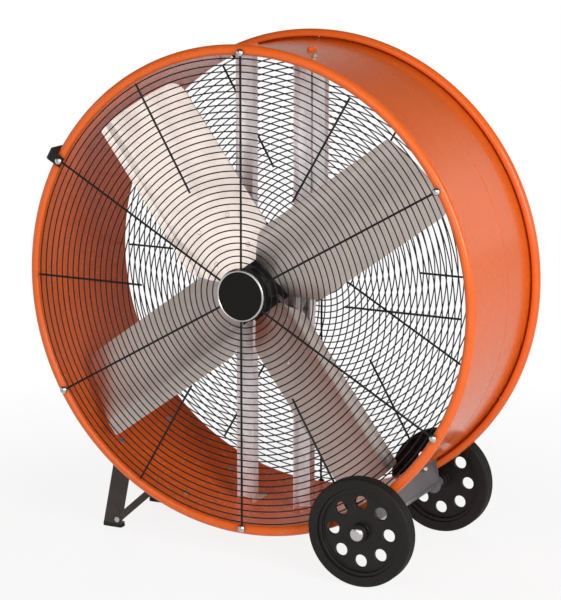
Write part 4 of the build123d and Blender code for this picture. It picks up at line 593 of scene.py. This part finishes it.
class DrumFanGuards(bpy.types.PropertyGroup):
    rings: IntProperty(name="Front rings", description="Ring wires of the front guard", default=33, min=2)
    rear_rings: IntProperty(name="Rear rings", description="Ring wires of the rear guard", default=35, min=2)
    first: size("Front first ring", "Radius of the front guard's innermost ring", 61.0)
    rear_first: size("Rear first ring", "Radius of the rear guard's innermost ring", 31.0)
    pitch: size("Pitch", "Distance from ring to ring", 15.0)
    wire: size("Ring wire", "Radius of a ring's wire", 1.5)
    spoke: size("Spoke wire", "Radius of a spoke's wire", 2.5)
    spoke_depth: size("Spoke depth", "From the drum's middle to the centres of the spokes", 210.5)
    long_start: size("Long spokes", "Where the front guard's long spokes start", 44.0)
    rear_start: size("Rear long spokes", "Where the rear guard's long spokes start", 29.0)
    short_start: size("Short spokes", "Where the short spokes start", 262.0)
    screw_circle: size("Screw circle", "Radius on which the screws sit", 554.4)
    screw_radius: size("Screw", "Radius of a screw's shank", 3.0)
    screw_length: size("Screw length", "Length of a screw's shank", 22.0)
    head_radius: size("Screw head", "Radius of a screw's domed head", 9.0)
    head_height: size("Head height", "Height of a screw's domed head", 6.0)


class DrumFanWheels(bpy.types.PropertyGroup):
    radius: size("Wheel radius", "Outside of the tyre", 127.0)
    tyre_inner: size("Tyre inside", "Where the tyre sits on the wheel", 103.0)
    width: size("Tyre width", "Across the tread", 36.0)
    groove: size("Groove depth", "Depth of the grooves round the tread", 2.5)


class DrumFanStudio(bpy.types.PropertyGroup):
    camera: FloatVectorProperty(name="Camera", description="Where the camera stands", size=3,
                                default=(2.478, -4.898, 1.780), subtype="TRANSLATION", unit="LENGTH")
    target: FloatVectorProperty(name="Target", description="What the camera looks at", size=3,
                                default=(-0.0059, 0.0, 0.5856), subtype="TRANSLATION", unit="LENGTH")
    lens: FloatProperty(name="Lens", description="Focal length in millimetres", default=142.7, min=10.0)
    key: FloatProperty(name="Key light", description="Watts of the lamp on the right", default=150.0, min=0.0)
    fill: FloatProperty(name="Fill light", description="Watts of the lamp on the left", default=20.0, min=0.0)
    front: FloatProperty(name="Front light", description="Watts of the lamp in front", default=115.0, min=0.0)
    back: FloatProperty(name="Back light", description="Watts of the lamp behind", default=90.0, min=0.0)
    sky: FloatProperty(name="Surround", description="Strength of the light from all round", default=0.3,
                       min=0.0)


# ---- steps of the dressing ----
class DRUMFAN_OT_drum(bpy.types.Operator):
    """Make the rolled drum with its curled rims and groove"""

    bl_idname = "drum_fan.drum"
    bl_label = "Drum"

    def execute(self, context):
        drum = context.scene.drum_fan_drum
        wall = drum.inner_radius + drum.sheet
        rim = drum.inner_radius + drum.bead_radius
        front = (-drum.half_width, rim)
        rear = (drum.half_width, rim)
        inside = drum.bead_radius - drum.sheet
        foot, sweep, steps = -90.0, 290.0, 40
        run_end = drum.half_width - 2.0 * MM
        groove_room = 5.0 * MM
        groove = ((-2.5, 0.0), (-1.25, -0.6), (1.25, -0.6), (2.5, 0.0))
        outline = arc(front, drum.bead_radius, foot, foot - sweep, steps)
        outline += arc(front, inside, foot - sweep, foot, steps)
        outline += straight(-run_end, drum.groove_at - groove_room, wall)
        outline += [(drum.groove_at + y * MM, wall + r * MM) for y, r in groove]
        outline += straight(drum.groove_at + groove_room, run_end, wall)
        outline += arc(rear, inside, foot, foot + sweep, steps)
        outline += arc(rear, drum.bead_radius, foot + sweep, foot, steps)
        outline += straight(run_end, -run_end, drum.inner_radius)
        show("drum", lathe(outline, AXIS, drum.steps, "drum"), "drum_barrel", sharp=20.0)
        return {"FINISHED"}


class DRUMFAN_OT_guards(bpy.types.Operator):
    """Make both wire guards"""

    bl_idname = "drum_fan.guards"
    bl_label = "Wire guards"

    def execute(self, context):
        guards = context.scene.drum_fan_guards
        ring_depth = guards.spoke_depth - guards.spoke - guards.wire
        eye = guards.screw_radius + guards.spoke + 0.4 * MM
        ends = (
            ("guard_front", guards.rings, guards.first, guards.long_start, pi / 2),
            ("guard_rear", guards.rear_rings, guards.rear_first, guards.rear_start, -pi / 2),
        )
        for node, rings, first, start, face in ends:
            last = first + guards.pitch * (rings - 1) + guards.wire
            mesh = shaper("guard").run(
                bpy.data.meshes.new(node), node, Rings=rings, First=first, Pitch=guards.pitch,
                Ring_Depth=ring_depth, Wire=guards.wire, Spokes=LONG_SPOKES,
                Spoke_Wire=guards.spoke, Long_Start=start, Short_Start=guards.short_start, Last=last,
                Screw_Circle=guards.screw_circle, Eye=eye, Depth=guards.spoke_depth,
                Face=(face, 0.0, 0.0), Centre=AXIS, Finish=finish("guard_wire"),
            )
            show(f"{node}_wires", mesh, node, sharp=50.0)
        return {"FINISHED"}


class DRUMFAN_OT_screws(bpy.types.Operator):
    """Make the domed screws that hold the guards"""

    bl_idname = "drum_fan.screws"
    bl_label = "Guard screws"

    def execute(self, context):
        guards = context.scene.drum_fan_guards
        dome = ((0.99, 0.03), (1.0, 0.16), (0.95, 0.36), (0.82, 0.62), (0.6, 0.86), (0.3, 0.985), (0.0, 1.0))
        end = -guards.screw_length
        outline = [(end, 0.0), (end, guards.screw_radius), (0.0, guards.screw_radius)]
        outline += [(y * guards.head_height, guards.head_radius * r) for r, y in dome]
        screw = lathe(outline, Vector(), 32, "screw")
        screw.transform(Matrix.Rotation(pi / 2, 4, "X"))
        slot = cross_slot(guards.head_radius * 1.1, 1.7 * MM, 1.8 * MM, guards.head_height)
        screw = carved(screw, slot)
        for node, way in (("guard_screws_front", -1), ("guard_screws_rear", 1)):
            seats = []
            for k in range(LONG_SPOKES):
                turn = radians(FIRST_LONG_SPOKE + 360.0 / LONG_SPOKES * k)
                strap = 3.0 * MM if k == HANDLE_SPOKE else 0.0
                depth = guards.spoke_depth + guards.spoke + strap
                place = AXIS + guards.screw_circle * Vector((cos(turn), 0.0, sin(turn)))
                spin = 1.1 * k
                seats.append((place + Vector((0.0, way * depth, 0.0)), (0.0, way, 0.0), spin))
            show(f"{node}_domed", fasteners(node, seats, screw, "chrome"), node)
        return {"FINISHED"}


class DRUMFAN_OT_badge(bpy.types.Operator):
    """Make the plain badge, its bright ring and the disc behind it"""

    bl_idname = "drum_fan.badge"
    bl_label = "Badge"

    def execute(self, context):
        guards = context.scene.drum_fan_guards
        face = -(guards.spoke_depth + guards.spoke)
        edge, brow, crown, rise = 55.0 * MM, 54.4 * MM, 1.7, 0.3
        disc = [(face, 0.0), (face, edge), (face - 1.2 * MM, edge), (face - crown * MM, brow)]
        disc += [(face - (crown + rise * k / 6) * MM, brow * (1 - k / 6)) for k in range(1, 7)]
        show("badge_plate", lathe(disc, AXIS, 96, "badge"), "badge_disc")
        inner, outer, foot = 55.2, 60.0, 2.0
        middle, half = (inner + outer) / 2, (outer - inner) / 2
        ring = [(face, inner * MM), (face, outer * MM)]
        for k in range(11):
            turn = pi * k / 10
            ring.append((face - (foot + 2.0 * sin(turn)) * MM, (middle + half * cos(turn)) * MM))
        show("badge_ring", lathe(ring, AXIS, 96, "bezel"), "badge_bezel")
        dressed("badge_backing", 0.4)
        return {"FINISHED"}


class DRUMFAN_OT_struts(bpy.types.Operator):
    """Dress the struts, the motor plate, the wiring and their bolts"""

    bl_idname = "drum_fan.struts"
    bl_label = "Struts and wiring"

    def execute(self, context):
        for node in ("strut_left", "strut_right", "motor_plate", "wiring_cover"):
            dressed(node, 0.7)
        dressed("strut_bolts", 0.5, slot="orange_paint")
        for node in ("motor_plate_bolts", "wiring_cover_bolt"):
            dressed(node, 0.5)
        dressed("motor_lead", 0.0, sharp=60.0)
        for node in ("lead_clips", "lead_grommets"):
            dressed(node, 0.4)
        return {"FINISHED"}


class DRUMFAN_OT_motor(bpy.types.Operator):
    """Dress the motor"""

    bl_idname = "drum_fan.motor"
    bl_label = "Motor"

    def execute(self, context):
        for node in ("motor_front_bell", "motor_rear_bell", "motor_shell", "terminal_box"):
            dressed(node, 1.2, 3)
        for node in ("motor_bolts", "motor_bearings", "motor_stator"):
            dressed(node, 0.4)
        return {"FINISHED"}


class DRUMFAN_OT_rotor(bpy.types.Operator):
    """Dress the shaft, hub and blades"""

    bl_idname = "drum_fan.rotor"
    bl_label = "Rotor"

    def execute(self, context):
        for k in range(BLADES):
            blade = dressed(f"blade_{k + 1}", 0.0, sharp=24.0)
            turn = radians(FIRST_BLADE + 360.0 / BLADES * k)
            level = Matrix.Rotation(turn, 4, "Y") @ Matrix.Translation(-AXIS)
            flat = blade.data.uv_layers.new(name="rolling")
            for loop in blade.data.loops:
                at = level @ blade.data.vertices[loop.vertex_index].co
                flat.data[loop.index].uv = (at.x, at.z)
        dressed("hub_spider", 0.8)
        for node in ("hub_bolt", "blade_rivets", "motor_shaft", "motor_rotor_core"):
            dressed(node, 0.4)
        return {"FINISHED"}


class DRUMFAN_OT_wheels(bpy.types.Operator):
    """Make the tyres and dress the wheels, axle and bracket"""

    bl_idname = "drum_fan.wheels"
    bl_label = "Wheels and axle"

    def execute(self, context):
        wheels = context.scene.drum_fan_wheels
        half = wheels.width / 2
        shoulder = 6.0 * MM
        inner, bead = wheels.tyre_inner, wheels.tyre_inner + 6 * MM
        groove = ((-2.2, 0.0), (-1.5, 0.5), (-1.2, 1.0), (1.2, 1.0), (1.5, 0.5), (2.2, 0.0))
        for end in ("front", "rear"):
            centre = Vector(JOINTS[f"{end}_wheel_roll"]["pos_m"])
            outline = [(-half, inner), (-half, inner + 5 * MM), (-half, bead)]
            outline += arc((-half + shoulder, wheels.radius - shoulder), shoulder, 180.0, 90.0, 8)
            for middle in (-5.5 * MM, 5.5 * MM):
                outline += [(middle + y * MM, wheels.radius - r * wheels.groove) for y, r in groove]
            outline += arc((half - shoulder, wheels.radius - shoulder), shoulder, 90.0, 0.0, 8)
            outline += [(half, bead), (half, inner)]
            show(f"tyre_{end}_moulded", lathe(outline, centre, 144, "tyre"), f"tyre_{end}")
            dressed(f"wheel_{end}", 1.4, 3)
        for node in ("axle", "wheel_spacers", "axle_bracket", "axle_bracket_bolts"):
            dressed(node, 0.6)
        dressed("hub_caps", 0.5, 3)
        return {"FINISHED"}


class DRUMFAN_OT_legs(bpy.types.Operator):
    """Dress the legs, their bolts and their pads"""

    bl_idname = "drum_fan.legs"
    bl_label = "Legs"

    def execute(self, context):
        for node in ("leg_post_front", "leg_post_rear", "leg_brace_front", "leg_brace_rear"):
            dressed(node, 0.8)
        for node in ("leg_bolts", "leg_foot_bolts"):
            dressed(node, 0.5)
        dressed("foot_pads", 1.2, 3)
        return {"FINISHED"}


class DRUMFAN_OT_handle(bpy.types.Operator):
    """Dress the handle's strap and grip"""

    bl_idname = "drum_fan.handle"
    bl_label = "Handle"

    def execute(self, context):
        dressed("handle_strap", 0.7)
        dressed("handle_grip", 1.8, 3)
        return {"FINISHED"}


class DRUMFAN_OT_controls(bpy.types.Operator):
    """Dress the control box, its knob and the cord gland"""

    bl_idname = "drum_fan.controls"
    bl_label = "Controls"

    def execute(self, context):
        for node in ("control_box", "control_box_cover", "speed_knob", "cord_gland"):
            dressed(node, 0.8, 3)
        for node in ("control_box_screws", "control_box_bolts", "speed_switch"):
            dressed(node, 0.4)
        return {"FINISHED"}


def place_floor(scene):
    """A floor much wider than the view."""
    half = 40.0
    corners = [(-half, -half, 0.0), (half, -half, 0.0), (half, half, 0.0), (-half, half, 0.0)]
    floor = bpy.data.meshes.new("floor")
    floor.from_pydata(corners, [], [(0, 1, 2, 3)])
    floor.materials.append(floor_finish(colours().floor))
    ground = bpy.data.objects.new("floor", floor)
    scene.collection.objects.link(ground)


def surround(scene, strength):
    """White to the camera, an even light on matt faces, and a low bright band in glossy ones."""
    world = bpy.data.worlds.new("surround")
    world.use_nodes = True
    scene.world = world
    nodes = Nodes(world.node_tree)
    world.node_tree.nodes.clear()
    path = nodes.add("ShaderNodeLightPath", None, None, "Is Camera Ray")
    seen = path.math("MAXIMUM", path, path.out("Is Transmission Ray"))
    way = nodes.add("ShaderNodeTexCoord", out="Generated")
    across = nodes.add("ShaderNodeSeparateXYZ", None, {"Vector": way}, "X")
    up = across.out("Z")
    even = strength * (1.0 - nodes.steps(up, 0.0, 0.9) * 0.7)
    low = 1.0 - nodes.steps(up, 0.26, 0.42) * 0.95
    mirrored = low * (0.45 + nodes.steps(across, -0.45, 0.1) * 0.55)
    glossy = path.out("Is Glossy Ray")
    light = even * (1.0 - glossy) + mirrored * glossy
    values = {"Color": WHITE, "Strength": seen.math("MAXIMUM", seen, light)}
    nodes.add("ShaderNodeOutputWorld", None, {"Surface": nodes.add("ShaderNodeBackground", None, values)})


def place_lamps(scene, studio):
    """Soft lamps that face the drum's middle. Only the first three show in glossy faces."""
    lamps = (
        ("key", studio.key, 2.4, (3.9, -2.2, 2.3), True),
        ("fill", studio.fill, 3.0, (-4.4, -2.0, 1.0), True),
        ("front", studio.front, 5.0, (0.8, -5.2, 2.6), True),
        ("back", studio.back, 3.0, (-2.8, 4.6, 2.2), False),
    )
    for name, watts, width, place, mirrored in lamps:
        light = bpy.data.lights.new(name, "AREA")
        light.energy = watts
        light.size = width
        lamp = bpy.data.objects.new(name, light)
        lamp.location = place
        lamp.visible_glossy = mirrored
        lamp.rotation_euler = (AXIS - Vector(place)).to_track_quat("-Z", "Y").to_euler()
        scene.collection.objects.link(lamp)


def place_camera(scene, studio):
    """The camera that matches the photograph."""
    eye = bpy.data.cameras.new("camera")
    eye.lens = studio.lens
    eye.sensor_width = 36.0
    eye.clip_end = 100.0
    camera = bpy.data.objects.new("camera", eye)
    camera.location = studio.camera
    way = Vector(studio.target) - Vector(studio.camera)
    camera.rotation_euler = way.to_track_quat("-Z", "Y").to_euler()
    scene.collection.objects.link(camera)
    scene.camera = camera


class DRUMFAN_OT_stage(bpy.types.Operator):
    """Set up the pale floor, the soft lamps and the camera"""

    bl_idname = "drum_fan.stage"
    bl_label = "Studio"

    def execute(self, context):
        scene = context.scene
        studio = scene.drum_fan_studio
        scene.view_settings.view_transform = "Standard"
        place_floor(scene)
        surround(scene, studio.sky)
        place_lamps(scene, studio)
        place_camera(scene, studio)
        return {"FINISHED"}


class DRUMFAN_PT_panel(bpy.types.Panel):
    """Lists the fan's settings and its steps"""

    bl_idname = "DRUMFAN_PT_panel"
    bl_label = "Drum fan"
    bl_space_type = "VIEW_3D"
    bl_region_type = "UI"
    bl_category = "Drum fan"

    def draw(self, context):
        for title, key, group in GROUPS:
            box = self.layout.box()
            box.label(text=title)
            for name in group.__annotations__:
                box.prop(getattr(context.scene, key), name)
        for step in STEPS:
            self.layout.operator(step.bl_idname)


GROUPS = (
    ("Colours", "drum_fan_colours", DrumFanColours),
    ("Drum", "drum_fan_drum", DrumFanDrum),
    ("Guards", "drum_fan_guards", DrumFanGuards),
    ("Wheels", "drum_fan_wheels", DrumFanWheels),
    ("Studio", "drum_fan_studio", DrumFanStudio),
)
STEPS = (
    DRUMFAN_OT_stage, DRUMFAN_OT_drum, DRUMFAN_OT_guards, DRUMFAN_OT_badge, DRUMFAN_OT_screws,
    DRUMFAN_OT_struts, DRUMFAN_OT_motor, DRUMFAN_OT_rotor, DRUMFAN_OT_wheels, DRUMFAN_OT_legs,
    DRUMFAN_OT_handle, DRUMFAN_OT_controls,
)


def register():
    for _, key, group in GROUPS:
        bpy.utils.register_class(group)
        setattr(bpy.types.Scene, key, PointerProperty(type=group))
    for kind in (*STEPS, DRUMFAN_PT_panel):
        bpy.utils.register_class(kind)


def unregister():
    for kind in (DRUMFAN_PT_panel, *reversed(STEPS)):
        bpy.utils.unregister_class(kind)
    for _, key, group in reversed(GROUPS):
        delattr(bpy.types.Scene, key)
        bpy.utils.unregister_class(group)


def main():
    register()
    for step in STEPS:
        group, name = step.bl_idname.split(".")
        getattr(getattr(bpy.ops, group), name)()


if __name__ == "__main__":
    main()
